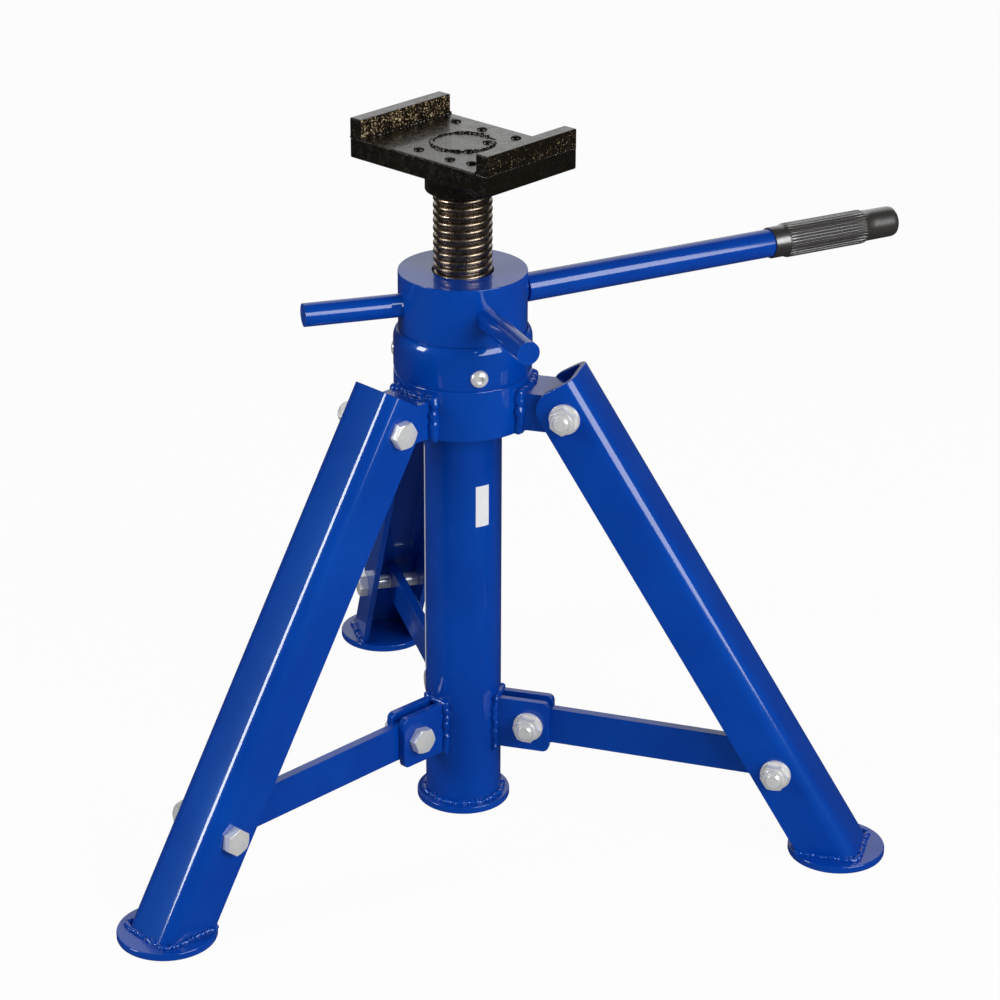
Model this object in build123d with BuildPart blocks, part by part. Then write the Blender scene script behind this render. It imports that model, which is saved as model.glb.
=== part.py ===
import os
from math import atan2, cos, degrees, hypot, radians, sin

from build123d import *

os.makedirs("parts", exist_ok=True)

# A tripod screw stand. Millimetres, +Z up. The origin is on the floor, on the axis of the column.
# A radial place is written (r, z): r outwards from the axis, z up from the floor.

# Driving dimensions: column and base plate
COLUMN_DIAMETER = 60.3
COLUMN_WALL = 5.0
BASE_PLATE_DIAMETER = 74.5
BASE_PLATE_THICKNESS = 6.0
BASE_PLATE_CLEARANCE = 4.0      # the base plate hangs this far above the floor
EDGE_BREAK = 0.8                # small chamfer on cut plates and turned edges

# Driving dimensions: legs, seen from above at these azimuths, in degrees from +X
LEG_AZIMUTHS = {"left": -150.0, "right": -30.0, "rear": 90.0}
FOOT_CENTRE_RADIUS = 306.5
FOOT_DIAMETER = 76.0
FOOT_THICKNESS = 6.0
PIVOT_RADIUS = 87.5
PIVOT_HEIGHT = 352.0
LEG_WIDTH = 50.0
LEG_DEPTH = 41.0
LEG_THICKNESS = 5.0
LEG_BEND_RADIUS = 12.0          # outside radius of the channel's two bends
LEG_WEB_OFFSET = 21.5           # from the bolt line to the outer face of the web
LEG_TOP_LENGTH = 24.0           # from the pivot to the square cut at the leg's top
LEG_TOP_CORNER_RADIUS = 17.0

# Driving dimensions: lugs, ears and braces
LUG_HEIGHT = 30.0
LUG_SIDE_CLEARANCE = 0.25
LUG_END_CLEARANCE = 1.5         # from the rounded end of the lug to the inside of the web
EAR_BOLT_RADIUS = 57.0
EAR_BOLT_HEIGHT = 78.0
EAR_HEIGHT = 43.0
EAR_END_RADIUS = 73.5
EAR_THICKNESS = 6.0
EAR_CORNER_RADIUS = 5.0
BRACE_HEIGHT = 30.0
BRACE_THICKNESS = 8.0
BRACE_SIDE_CLEARANCE = 0.1
BRACE_BOLT_HEIGHT = 74.0        # height of the bolt that joins brace and leg

# Driving dimensions: hexagon bolts, nuts and washers of 12 mm
BOLT_DIAMETER = 12.0
BOLT_HOLE_DIAMETER = 13.0
HEX_ACROSS_FLATS = 19.0
BOLT_HEAD_HEIGHT = 7.5
NUT_HEIGHT = 10.0
NUT_BORE_CLEARANCE = 0.05
WASHER_DIAMETER = 24.0
WASHER_THICKNESS = 2.5
BOLT_END_LENGTH = 1.5           # what shows of the bolt past its nut

# Driving dimensions: head of the column and its thrust bearing
COLLAR_DIAMETER = 106.5
COLLAR_PIVOT_RISE = 17.5        # from the collar's underside up to the legs' pivots
COLLAR_HEIGHT = 40.5
COLLAR_SHOULDER_HEIGHT = 6.0    # the step that stands on the end of the column tube
COLLAR_SHOULDER_BORE = 52.0
BEARING_DIAMETER = 85.0
BEARING_HEIGHT = 17.0
BEARING_SEAT_DEPTH = 14.0       # how deep the bearing lies in the collar
BEARING_SEAT_CLEARANCE = 0.1
RACE_HEIGHT = 4.75
LOWER_RACE_BORE = 62.0
UPPER_RACE_BORE = 60.0
ROLLER_COUNT = 18
ROLLER_LENGTH = 8.5
ROLLER_CLEARANCE = 0.3          # from a roller to each race, and to each side of its pocket
CAGE_THICKNESS = 3.0
CAGE_MARGIN = 1.0               # how far the cage stays inside the lower race's edges

# Driving dimensions: retaining ring and its screws
RING_DIAMETER = 106.5
RING_HEIGHT = 34.0
RING_BOTTOM_TAPER = 1.2
RING_BOTTOM_TAPER_HEIGHT = 4.0
RING_SHOULDER_HEIGHT = 8.0
RING_LIP = 0.4
RING_SCREW_AZIMUTHS = (-90.0, 30.0, 150.0)
RING_SCREW_RISE = 10.5          # from the ring's underside up to its screws
RING_SCREW_DIAMETER = 8.0
RING_SCREW_HEAD_DIAMETER = 13.5
RING_SCREW_HEAD_HEIGHT = 4.4
RING_SCREW_SOCKET = 5.0
RING_SCREW_SOCKET_DEPTH = 2.6
RING_SPOT_DEPTH = 0.6
RING_SPOT_CLEARANCE = 0.4

# Driving dimensions: lift nut and its stubs
NUT_DIAMETER = 98.7
HUB_HEIGHT = 76.6               # from the bearing up to the nut's top
NUT_RING_CLEARANCE = 0.5
NUT_PILOT_LENGTH = 15.0
NUT_PILOT_CLEARANCE = 0.05
NUT_GROOVE_WIDTH = 9.6
NUT_GROOVE_DEPTH = 5.0
NUT_GROOVE_CLEARANCE = 1.5      # from the tip of a ring screw to the bottom of the groove
THREAD_CLEARANCE = 0.05
STUB_AZIMUTHS = {"handle_stub": 14.2, "left_stub": 183.0, "front_stub": 279.0}
STUB_DROP = 24.1                # from the nut's top down to the stubs' axes
STUB_DIAMETER = 18.0
STUB_TIP_RADIUS = 124.5
STUB_SPIGOT_DIAMETER = 16.0     # the turned-down end that sits in the nut
STUB_SOCKET_DEPTH = 18.0
STUB_SHOULDER_GAP = 0.15        # from the nut to the shoulder behind the spigot
STUB_FLAT_WIDTH = 16.0
STUB_FLAT_LENGTH = 8.0
STUB_TIP_CHAMFER = 1.0

# Driving dimensions: handle
HANDLE_TUBE_DIAMETER = 22.3
HANDLE_TUBE_CLEARANCE = 0.08
HANDLE_START_RADIUS = 53.0
GRIP_START_RADIUS = 275.0
GRIP_NECK_LENGTH = 13.0
GRIP_NECK_DIAMETER = 25.0
GRIP_RIB_LENGTH = 75.0
GRIP_RIB_DIAMETER = 27.6
GRIP_RIB_COUNT = 26
GRIP_GROOVE_DEPTH = 1.0
GRIP_GROOVE_WIDTH = 1.3
GRIP_CAP_LENGTH = 30.5
GRIP_CAP_DIAMETER = 25.0
GRIP_END_THICKNESS = 4.0
GRIP_END_FILLET = 3.0

# Driving dimensions: lift screw and saddle
SCREW_DIAMETER = 45.0
SCREW_LENGTH = 432.0
SCREW_SHOWN_LENGTH = 63.4       # from the nut's top up to the saddle's collar, as it stands
SADDLE_AZIMUTH = -57.1
SADDLE_LENGTH = 141.0
SADDLE_WIDTH = 96.0
SADDLE_THICKNESS = 16.0
SADDLE_BAR_THICKNESS = 12.0
SADDLE_BAR_HEIGHT = 15.0
SADDLE_BAR_SEAT_DEPTH = 0.5     # the bars stand in shallow rebates in the plate
SADDLE_BAR_SEAT_CLEARANCE = 0.5
SADDLE_BORE_CLEARANCE = 0.05
SADDLE_COLLAR_DIAMETER = 57.0
SADDLE_COLLAR_HEIGHT = 20.0
STOP_PLATE_CLEARANCE = 0.3
STOP_PLATE_THICKNESS = 8.0
STOP_BOLT_DEPTH = 30.0
GUIDE_STRIP_AZIMUTH = 30.0
GUIDE_STRIP_WIDTH = 8.0
GUIDE_STRIP_CLEARANCE = 0.35
GUIDE_STRIP_SEAT_CLEARANCE = 0.2
GUIDE_STRIP_END_GAP = 4.0

# Places that follow from the driving dimensions
FOOT_LEAN = degrees(atan2(FOOT_CENTRE_RADIUS - PIVOT_RADIUS, PIVOT_HEIGHT))
LEG_LINE_LENGTH = hypot(FOOT_CENTRE_RADIUS - PIVOT_RADIUS, PIVOT_HEIGHT)
BRACE_BOLT_RADIUS = (
    FOOT_CENTRE_RADIUS
    - (FOOT_CENTRE_RADIUS - PIVOT_RADIUS) * BRACE_BOLT_HEIGHT / PIVOT_HEIGHT
)
COLUMN_RADIUS = COLUMN_DIAMETER / 2
COLUMN_BORE_RADIUS = COLUMN_RADIUS - COLUMN_WALL
COLUMN_BOTTOM = BASE_PLATE_CLEARANCE + BASE_PLATE_THICKNESS
COLLAR_BOTTOM = PIVOT_HEIGHT - COLLAR_PIVOT_RISE
COLLAR_TOP = COLLAR_BOTTOM + COLLAR_HEIGHT
BEARING_SEAT = COLLAR_TOP - BEARING_SEAT_DEPTH
COLUMN_TOP = BEARING_SEAT - COLLAR_SHOULDER_HEIGHT
BEARING_TOP = BEARING_SEAT + BEARING_HEIGHT
BEARING_MIDDLE = BEARING_SEAT + BEARING_HEIGHT / 2
ROLLER_CIRCLE_RADIUS = (BEARING_DIAMETER + LOWER_RACE_BORE) / 4
ROLLER_RADIUS = BEARING_HEIGHT / 2 - RACE_HEIGHT - ROLLER_CLEARANCE
NUT_RADIUS = NUT_DIAMETER / 2
RING_BORE_RADIUS = NUT_RADIUS + NUT_RING_CLEARANCE
RING_RADIUS = RING_DIAMETER / 2
RING_TOP = COLLAR_TOP + RING_HEIGHT
RING_SCREW_HEIGHT = COLLAR_TOP + RING_SCREW_RISE
RING_SEAT_RADIUS = RING_RADIUS - RING_SPOT_DEPTH
NUT_GROOVE_RADIUS = NUT_RADIUS - NUT_GROOVE_DEPTH
PILOT_BOTTOM = BEARING_TOP - NUT_PILOT_LENGTH
NUT_TOP = BEARING_TOP + HUB_HEIGHT
STUB_HEIGHT = NUT_TOP - STUB_DROP
STUB_SHOULDER_RADIUS = NUT_RADIUS + STUB_SHOULDER_GAP
SCREW_RADIUS = SCREW_DIAMETER / 2
SADDLE_UNDERSIDE = NUT_TOP + SCREW_SHOWN_LENGTH + SADDLE_COLLAR_HEIGHT
SADDLE_TOP = SADDLE_UNDERSIDE + SADDLE_THICKNESS
SCREW_BOTTOM = SADDLE_TOP - SCREW_LENGTH
LUG_WIDTH = LEG_WIDTH - 2 * LEG_THICKNESS - 2 * LUG_SIDE_CLEARANCE
LUG_END_RADIUS = LEG_WEB_OFFSET - LEG_THICKNESS - LUG_END_CLEARANCE
EAR_GAP = BRACE_THICKNESS + 2 * BRACE_SIDE_CLEARANCE
EARS_WIDTH = EAR_GAP + 2 * EAR_THICKNESS


def outwards(azimuth):
    """The horizontal unit vector that points away from the axis at this azimuth."""
    return Vector(cos(radians(azimuth)), sin(radians(azimuth)), 0)


def side_view(azimuth):
    """The upright plane through the axis: its x is r, its y is z, seen from the side."""
    out = outwards(azimuth)
    return Plane(origin=(0, 0, 0), x_dir=out, z_dir=out.cross(Vector(0, 0, 1)))


def leg_section(azimuth):
    """The plane square to a leg at its pivot: x runs across the leg, y from bolt line to column."""
    out = outwards(azimuth)
    along = Vector(0, 0, 1) * cos(radians(FOOT_LEAN)) - out * sin(radians(FOOT_LEAN))
    pivot = out * PIVOT_RADIUS + Vector(0, 0, PIVOT_HEIGHT)
    return Plane(origin=pivot, x_dir=Vector(0, 0, 1).cross(out), z_dir=along)


def radial_plane(azimuth, r, z):
    """The upright plane at this place, square to the radius: its x points up and its z outwards."""
    out = outwards(azimuth)
    return Plane(origin=out * r + Vector(0, 0, z), x_dir=(0, 0, 1), z_dir=out)


def save(part, name):
    """Names the finished piece and writes it as one file."""
    part.label = name
    export_step(part, f"parts/{name}.step")


# Column

with BuildPart() as base_plate:
    with BuildSketch(Plane.XY.offset(BASE_PLATE_CLEARANCE)):
        Circle(BASE_PLATE_DIAMETER / 2)
    extrude(amount=BASE_PLATE_THICKNESS)
    chamfer(base_plate.faces().sort_by(Axis.Z)[-1].edges(), EDGE_BREAK)
save(base_plate.part, "base_plate")

with BuildPart() as column_tube:
    with BuildSketch(Plane.XY.offset(COLUMN_BOTTOM)):
        Circle(COLUMN_RADIUS)
        Circle(COLUMN_BORE_RADIUS, mode=Mode.SUBTRACT)
    extrude(amount=COLUMN_TOP - COLUMN_BOTTOM)
save(column_tube.part, "column_tube")

# The collar is a turned cup: its bore takes the column tube, its step stands on the tube's end,
# and the thrust bearing lies in the cup.
with BuildPart() as bearing_collar:
    with BuildSketch(Plane.XY.offset(COLLAR_BOTTOM)):
        Circle(COLLAR_DIAMETER / 2)
    extrude(amount=COLLAR_HEIGHT)
    chamfer(bearing_collar.edges().filter_by(GeomType.CIRCLE), EDGE_BREAK)
    with BuildSketch(Plane.XY.offset(COLLAR_BOTTOM)):
        Circle(COLUMN_RADIUS)
    extrude(amount=COLUMN_TOP - COLLAR_BOTTOM, mode=Mode.SUBTRACT)
    with BuildSketch(Plane.XY.offset(COLUMN_TOP)):
        Circle(COLLAR_SHOULDER_BORE / 2)
    extrude(amount=COLLAR_SHOULDER_HEIGHT, mode=Mode.SUBTRACT)
    with BuildSketch(Plane.XY.offset(BEARING_SEAT)):
        Circle(BEARING_DIAMETER / 2 + BEARING_SEAT_CLEARANCE)
    extrude(amount=BEARING_SEAT_DEPTH, mode=Mode.SUBTRACT)
save(bearing_collar.part, "bearing_collar")

# The guide strip lies along the inside of the column tube and keeps the screw from turning.
GUIDE_STRIP_INNER_RADIUS = SCREW_RADIUS + GUIDE_STRIP_CLEARANCE

with BuildPart() as guide_strip:
    strip_bottom = COLUMN_BOTTOM + GUIDE_STRIP_END_GAP
    with BuildSketch(Plane.XY.offset(strip_bottom).rotated((0, 0, GUIDE_STRIP_AZIMUTH))):
        with Locations((COLUMN_BORE_RADIUS / 2, 0)):
            Rectangle(COLUMN_BORE_RADIUS, GUIDE_STRIP_WIDTH)
        Circle(COLUMN_BORE_RADIUS - GUIDE_STRIP_SEAT_CLEARANCE, mode=Mode.INTERSECT)
        Circle(GUIDE_STRIP_INNER_RADIUS, mode=Mode.SUBTRACT)
    extrude(amount=BEARING_SEAT - strip_bottom)
save(guide_strip.part, "guide_strip")

# Legs, with their feet, lugs, ears and braces


def bolt_hole(azimuth, r, z, width):
    """Cuts one bolt's clearance hole across the piece that is being made."""
    with BuildSketch(side_view(azimuth)) as hole:
        with Locations((r, z)):
            Circle(BOLT_HOLE_DIAMETER / 2)
    extrude(hole.sketch, amount=width, both=True, mode=Mode.SUBTRACT)


for side, azimuth in LEG_AZIMUTHS.items():
    section = leg_section(azimuth)

    with BuildPart() as foot_plate:
        with BuildSketch(Plane(origin=outwards(azimuth) * FOOT_CENTRE_RADIUS)):
            Circle(FOOT_DIAMETER / 2)
        extrude(amount=FOOT_THICKNESS)
        chamfer(foot_plate.faces().sort_by(Axis.Z)[-1].edges(), EDGE_BREAK)
    save(foot_plate.part, f"foot_plate_{side}")

    # The channel is drawn as its outer line with two bends, thickened inwards. It starts below
    # the floor, is cut level on top of its foot plate, and ends square above the pivot with the
    # inner corners of its flanges rounded off.
    with BuildPart() as leg:
        with BuildSketch(section.offset(-LEG_LINE_LENGTH - FOOT_DIAMETER)):
            with BuildLine():
                FilletPolyline(
                    (-LEG_WIDTH / 2, LEG_DEPTH - LEG_WEB_OFFSET),
                    (-LEG_WIDTH / 2, -LEG_WEB_OFFSET),
                    (LEG_WIDTH / 2, -LEG_WEB_OFFSET),
                    (LEG_WIDTH / 2, LEG_DEPTH - LEG_WEB_OFFSET),
                    radius=LEG_BEND_RADIUS,
                )
                offset(amount=LEG_THICKNESS, side=Side.LEFT)
            make_face()
        extrude(amount=LEG_LINE_LENGTH + FOOT_DIAMETER + LEG_TOP_LENGTH)
        split(bisect_by=Plane.XY.offset(FOOT_THICKNESS), keep=Keep.TOP)
        across_edges = leg.edges().filter_by(Axis(section.origin, section.x_dir))
        top_edges = across_edges.group_by(Axis(section.origin, section.z_dir))[-1]
        flange_corners = top_edges.group_by(Axis(section.origin, section.y_dir))[-1]
        fillet(flange_corners, LEG_TOP_CORNER_RADIUS)
        bolt_hole(azimuth, PIVOT_RADIUS, PIVOT_HEIGHT, LEG_WIDTH)
        bolt_hole(azimuth, BRACE_BOLT_RADIUS, BRACE_BOLT_HEIGHT, LEG_WIDTH)
    save(leg.part, f"leg_{side}")

    # The lug is a block with a rounded end. It is coped to the collar that it is welded to, and
    # its end corners are rounded to clear the channel's bends.
    with BuildPart() as pivot_lug:
        with BuildSketch(side_view(azimuth)):
            with Locations((PIVOT_RADIUS / 2, PIVOT_HEIGHT)):
                Rectangle(PIVOT_RADIUS, LUG_HEIGHT)
            with Locations((PIVOT_RADIUS, PIVOT_HEIGHT)):
                Circle(LUG_END_RADIUS)
        extrude(amount=LUG_WIDTH / 2, both=True)
        with BuildSketch(section):
            with Locations((0, PIVOT_RADIUS - LUG_END_RADIUS)):
                channel_inside = Rectangle(LUG_WIDTH, 2 * PIVOT_RADIUS)
            fillet(channel_inside.vertices().group_by(Axis.Y)[0], LEG_BEND_RADIUS - LEG_THICKNESS)
        extrude(amount=PIVOT_RADIUS, both=True, mode=Mode.INTERSECT)
        with BuildSketch(Plane.XY):
            Circle(COLLAR_DIAMETER / 2)
        extrude(amount=NUT_TOP, mode=Mode.SUBTRACT)
        bolt_hole(azimuth, PIVOT_RADIUS, PIVOT_HEIGHT, LUG_WIDTH)
    save(pivot_lug.part, f"pivot_lug_{side}")

    # Two ear plates stand a brace's thickness apart, coped to the column that they are welded to.
    with BuildPart() as brace_ears:
        with BuildSketch(side_view(azimuth)):
            with Locations((EAR_END_RADIUS / 2, EAR_BOLT_HEIGHT)):
                ear = Rectangle(EAR_END_RADIUS, EAR_HEIGHT)
            fillet(ear.vertices().group_by(Axis.X)[-1], EAR_CORNER_RADIUS)
        extrude(amount=EARS_WIDTH / 2, both=True)
        with BuildSketch(side_view(azimuth)):
            with Locations((EAR_END_RADIUS / 2, EAR_BOLT_HEIGHT)):
                Rectangle(EAR_END_RADIUS, EAR_HEIGHT)
        extrude(amount=EAR_GAP / 2, both=True, mode=Mode.SUBTRACT)
        with BuildSketch(Plane.XY):
            Circle(COLUMN_RADIUS)
        extrude(amount=COLUMN_TOP, mode=Mode.SUBTRACT)
        bolt_hole(azimuth, EAR_BOLT_RADIUS, EAR_BOLT_HEIGHT, EARS_WIDTH)
    save(brace_ears.part, f"brace_ears_{side}")

    # The brace is a flat bar with round ends, from the ears to the inside of the leg.
    brace_run = BRACE_BOLT_RADIUS - EAR_BOLT_RADIUS
    brace_rise = BRACE_BOLT_HEIGHT - EAR_BOLT_HEIGHT
    brace_slope = degrees(atan2(brace_rise, brace_run))
    brace_middle = (EAR_BOLT_RADIUS + brace_run / 2, EAR_BOLT_HEIGHT + brace_rise / 2)
    with BuildPart() as brace:
        with BuildSketch(side_view(azimuth)):
            with Locations(brace_middle):
                SlotCenterToCenter(hypot(brace_run, brace_rise), BRACE_HEIGHT, rotation=brace_slope)
        extrude(amount=BRACE_THICKNESS / 2, both=True)
        bolt_hole(azimuth, EAR_BOLT_RADIUS, EAR_BOLT_HEIGHT, BRACE_THICKNESS)
        bolt_hole(azimuth, BRACE_BOLT_RADIUS, BRACE_BOLT_HEIGHT, BRACE_THICKNESS)
    save(brace.part, f"brace_{side}")

# Bolts, nuts and washers. Every head is on the leg's left-hand side as seen from the column,
# and every nut with its washer is on the other side.
LEG_JOINTS = ((PIVOT_RADIUS, PIVOT_HEIGHT), (BRACE_BOLT_RADIUS, BRACE_BOLT_HEIGHT))
EAR_JOINTS = ((EAR_BOLT_RADIUS, EAR_BOLT_HEIGHT),)


def joint_planes(joints, distance):
    """A plane at each leg's joints, square to the bolt and this far from the leg's middle.

    Its z points to the nut's side, and a distance below zero is on the head's side.
    """
    planes = []
    for azimuth in LEG_AZIMUTHS.values():
        view = side_view(azimuth)
        for r, z in joints:
            origin = view.origin + view.x_dir * r + view.y_dir * z + view.z_dir * distance
            planes.append(Plane(origin=origin, x_dir=view.x_dir, z_dir=view.z_dir))
    return planes


def hexagon_bolts(joints, grip):
    """One bolt at each joint, through pieces that are this thick in all."""
    with BuildPart() as bolts:
        with BuildSketch(*joint_planes(joints, -grip / 2)):
            RegularPolygon(HEX_ACROSS_FLATS / 2, 6, major_radius=False)
        extrude(amount=-BOLT_HEAD_HEIGHT)
        with BuildSketch(*joint_planes(joints, -grip / 2)):
            Circle(BOLT_DIAMETER / 2)
        extrude(amount=grip + WASHER_THICKNESS + NUT_HEIGHT + BOLT_END_LENGTH)
    return bolts


save(hexagon_bolts(LEG_JOINTS, LEG_WIDTH).part, "leg_bolts")
save(hexagon_bolts(EAR_JOINTS, EARS_WIDTH).part, "ear_bolts")

with BuildPart() as washers:
    for joints, grip in ((LEG_JOINTS, LEG_WIDTH), (EAR_JOINTS, EARS_WIDTH)):
        with BuildSketch(*joint_planes(joints, grip / 2)):
            Circle(WASHER_DIAMETER / 2)
            Circle(BOLT_HOLE_DIAMETER / 2, mode=Mode.SUBTRACT)
        extrude(amount=WASHER_THICKNESS)
save(washers.part, "flat_washers")

with BuildPart() as nuts:
    for joints, grip in ((LEG_JOINTS, LEG_WIDTH), (EAR_JOINTS, EARS_WIDTH)):
        with BuildSketch(*joint_planes(joints, grip / 2 + WASHER_THICKNESS)):
            RegularPolygon(HEX_ACROSS_FLATS / 2, 6, major_radius=False)
            Circle(BOLT_DIAMETER / 2 + NUT_BORE_CLEARANCE, mode=Mode.SUBTRACT)
        extrude(amount=NUT_HEIGHT)
save(nuts.part, "hex_nuts")

# Thrust bearing: two flat races with a ring of rollers in a cage between them


def race(bottom, bore):
    """A flat ring of hardened steel, with this bore."""
    with BuildPart() as ring:
        with BuildSketch(Plane.XY.offset(bottom)):
            Circle(BEARING_DIAMETER / 2)
            Circle(bore / 2, mode=Mode.SUBTRACT)
        extrude(amount=RACE_HEIGHT)
    return ring


save(race(BEARING_SEAT, LOWER_RACE_BORE).part, "lower_race")
save(race(BEARING_TOP - RACE_HEIGHT, UPPER_RACE_BORE).part, "upper_race")

ROLLER_START_RADIUS = ROLLER_CIRCLE_RADIUS - ROLLER_LENGTH / 2

with BuildPart() as bearing_rollers:
    for number in range(ROLLER_COUNT):
        with BuildSketch(radial_plane(number * 360 / ROLLER_COUNT, ROLLER_START_RADIUS, BEARING_MIDDLE)):
            Circle(ROLLER_RADIUS)
        extrude(amount=ROLLER_LENGTH)
save(bearing_rollers.part, "bearing_rollers")

with BuildPart() as roller_cage:
    with BuildSketch(Plane.XY.offset(BEARING_MIDDLE - CAGE_THICKNESS / 2)):
        Circle(BEARING_DIAMETER / 2 - CAGE_MARGIN)
        Circle(LOWER_RACE_BORE / 2 + CAGE_MARGIN, mode=Mode.SUBTRACT)
        with PolarLocations(ROLLER_CIRCLE_RADIUS, ROLLER_COUNT):
            Rectangle(
                ROLLER_LENGTH + 2 * ROLLER_CLEARANCE,
                2 * ROLLER_RADIUS + 2 * ROLLER_CLEARANCE,
                mode=Mode.SUBTRACT,
            )
    extrude(amount=CAGE_THICKNESS)
save(roller_cage.part, "roller_cage")

# Retaining ring: turned from its section, with a rounded shoulder at the top, and spot-faced
# where the heads of its three screws lie.


def ring_screw_planes(r):
    """A plane at each ring screw, this far from the axis, whose z points outwards."""
    return [radial_plane(azimuth, r, RING_SCREW_HEIGHT) for azimuth in RING_SCREW_AZIMUTHS]


with BuildPart() as retaining_ring:
    with BuildSketch(Plane.XZ):
        with BuildLine():
            Polyline(
                (RING_BORE_RADIUS + RING_LIP, RING_TOP),
                (RING_BORE_RADIUS, RING_TOP),
                (RING_BORE_RADIUS, COLLAR_TOP),
                (RING_RADIUS - RING_BOTTOM_TAPER, COLLAR_TOP),
                (RING_RADIUS, COLLAR_TOP + RING_BOTTOM_TAPER_HEIGHT),
                (RING_RADIUS, RING_TOP - RING_SHOULDER_HEIGHT),
            )
            TangentArc(
                (RING_RADIUS, RING_TOP - RING_SHOULDER_HEIGHT),
                (RING_BORE_RADIUS + RING_LIP, RING_TOP),
                tangent=(0, 1),
            )
        make_face()
    revolve(axis=Axis.Z)
    with BuildSketch(*ring_screw_planes(RING_SEAT_RADIUS)):
        Circle(RING_SCREW_HEAD_DIAMETER / 2 + RING_SPOT_CLEARANCE)
    extrude(amount=RING_RADIUS, mode=Mode.SUBTRACT)
    with BuildSketch(*ring_screw_planes(0)):
        Circle(RING_SCREW_DIAMETER / 2 + NUT_BORE_CLEARANCE)
    extrude(amount=RING_RADIUS, mode=Mode.SUBTRACT)
save(retaining_ring.part, "retaining_ring")

with BuildPart() as ring_screws:
    with BuildSketch(*ring_screw_planes(NUT_GROOVE_RADIUS + NUT_GROOVE_CLEARANCE)):
        Circle(RING_SCREW_DIAMETER / 2)
    extrude(amount=RING_SEAT_RADIUS - NUT_GROOVE_RADIUS - NUT_GROOVE_CLEARANCE)
    with BuildSketch(*ring_screw_planes(RING_SEAT_RADIUS)):
        Circle(RING_SCREW_HEAD_DIAMETER / 2)
    extrude(amount=RING_SCREW_HEAD_HEIGHT)
    head_rims = ring_screws.edges().filter_by(GeomType.CIRCLE).group_by(SortBy.RADIUS)[-1]
    outer_rims = [rim for rim in head_rims if hypot(rim.arc_center.X, rim.arc_center.Y) > RING_RADIUS]
    chamfer(outer_rims, RING_SCREW_HEAD_HEIGHT / 3)
    with BuildSketch(*ring_screw_planes(RING_SEAT_RADIUS + RING_SCREW_HEAD_HEIGHT)):
        RegularPolygon(RING_SCREW_SOCKET / 2, 6, major_radius=False)
    extrude(amount=-RING_SCREW_SOCKET_DEPTH, mode=Mode.SUBTRACT)
save(ring_screws.part, "ring_screws")

# Lift nut: a turned hub. Its pilot sits in the upper race, its groove takes the tips of the ring
# screws, and a blind socket takes each stub.
with BuildPart() as lift_nut:
    with BuildSketch(Plane.XY.offset(BEARING_TOP)):
        Circle(NUT_RADIUS)
    extrude(amount=NUT_TOP - BEARING_TOP)
    chamfer(lift_nut.faces().sort_by(Axis.Z)[-1].edges(), EDGE_BREAK)
    with BuildSketch(Plane.XY.offset(PILOT_BOTTOM)):
        Circle(UPPER_RACE_BORE / 2 - NUT_PILOT_CLEARANCE)
    extrude(amount=NUT_PILOT_LENGTH)
    with BuildSketch(Plane.XY.offset(RING_SCREW_HEIGHT - NUT_GROOVE_WIDTH / 2)):
        Circle(NUT_RADIUS)
        Circle(NUT_GROOVE_RADIUS, mode=Mode.SUBTRACT)
    extrude(amount=NUT_GROOVE_WIDTH, mode=Mode.SUBTRACT)
    with BuildSketch(Plane.XY.offset(PILOT_BOTTOM)):
        Circle(SCREW_RADIUS + THREAD_CLEARANCE)
    extrude(amount=NUT_TOP - PILOT_BOTTOM, mode=Mode.SUBTRACT)
    for azimuth in STUB_AZIMUTHS.values():
        with BuildSketch(radial_plane(azimuth, NUT_RADIUS - STUB_SOCKET_DEPTH, STUB_HEIGHT)):
            Circle(STUB_SPIGOT_DIAMETER / 2)
        extrude(amount=STUB_SOCKET_DEPTH, mode=Mode.SUBTRACT)
save(lift_nut.part, "lift_nut")

# Stubs: round bars with a spigot in the hub, two spanner flats beside it and a chamfered tip
for name, azimuth in STUB_AZIMUTHS.items():
    with BuildPart() as stub:
        with BuildSketch(radial_plane(azimuth, NUT_RADIUS - STUB_SOCKET_DEPTH, STUB_HEIGHT)):
            Circle(STUB_SPIGOT_DIAMETER / 2)
        extrude(amount=STUB_SOCKET_DEPTH + STUB_SHOULDER_GAP)
        with BuildSketch(radial_plane(azimuth, STUB_SHOULDER_RADIUS, STUB_HEIGHT)):
            Circle(STUB_DIAMETER / 2)
        extrude(amount=STUB_TIP_RADIUS - STUB_SHOULDER_RADIUS)
        tip = stub.faces().sort_by(Axis((0, 0, STUB_HEIGHT), outwards(azimuth)))[-1]
        chamfer(tip.edges(), STUB_TIP_CHAMFER)
        with BuildSketch(radial_plane(azimuth, NUT_RADIUS + EDGE_BREAK, STUB_HEIGHT)):
            Circle(STUB_DIAMETER / 2)
            Rectangle(STUB_DIAMETER, STUB_FLAT_WIDTH, mode=Mode.SUBTRACT)
        extrude(amount=STUB_FLAT_LENGTH, mode=Mode.SUBTRACT)
    save(stub.part, name)

# Handle: a tube over its stub, and a moulded grip with lengthwise ribs over the tube's end
HANDLE_AZIMUTH = STUB_AZIMUTHS["handle_stub"]
GRIP_END_RADIUS = GRIP_START_RADIUS + GRIP_NECK_LENGTH + GRIP_RIB_LENGTH + GRIP_CAP_LENGTH
HANDLE_END_RADIUS = GRIP_END_RADIUS - GRIP_END_THICKNESS
HANDLE_AXIS = Axis((0, 0, STUB_HEIGHT), outwards(HANDLE_AZIMUTH))


def handle_plane(r):
    """The plane square to the handle, this far from the axis of the column."""
    return radial_plane(HANDLE_AZIMUTH, r, STUB_HEIGHT)


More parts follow.
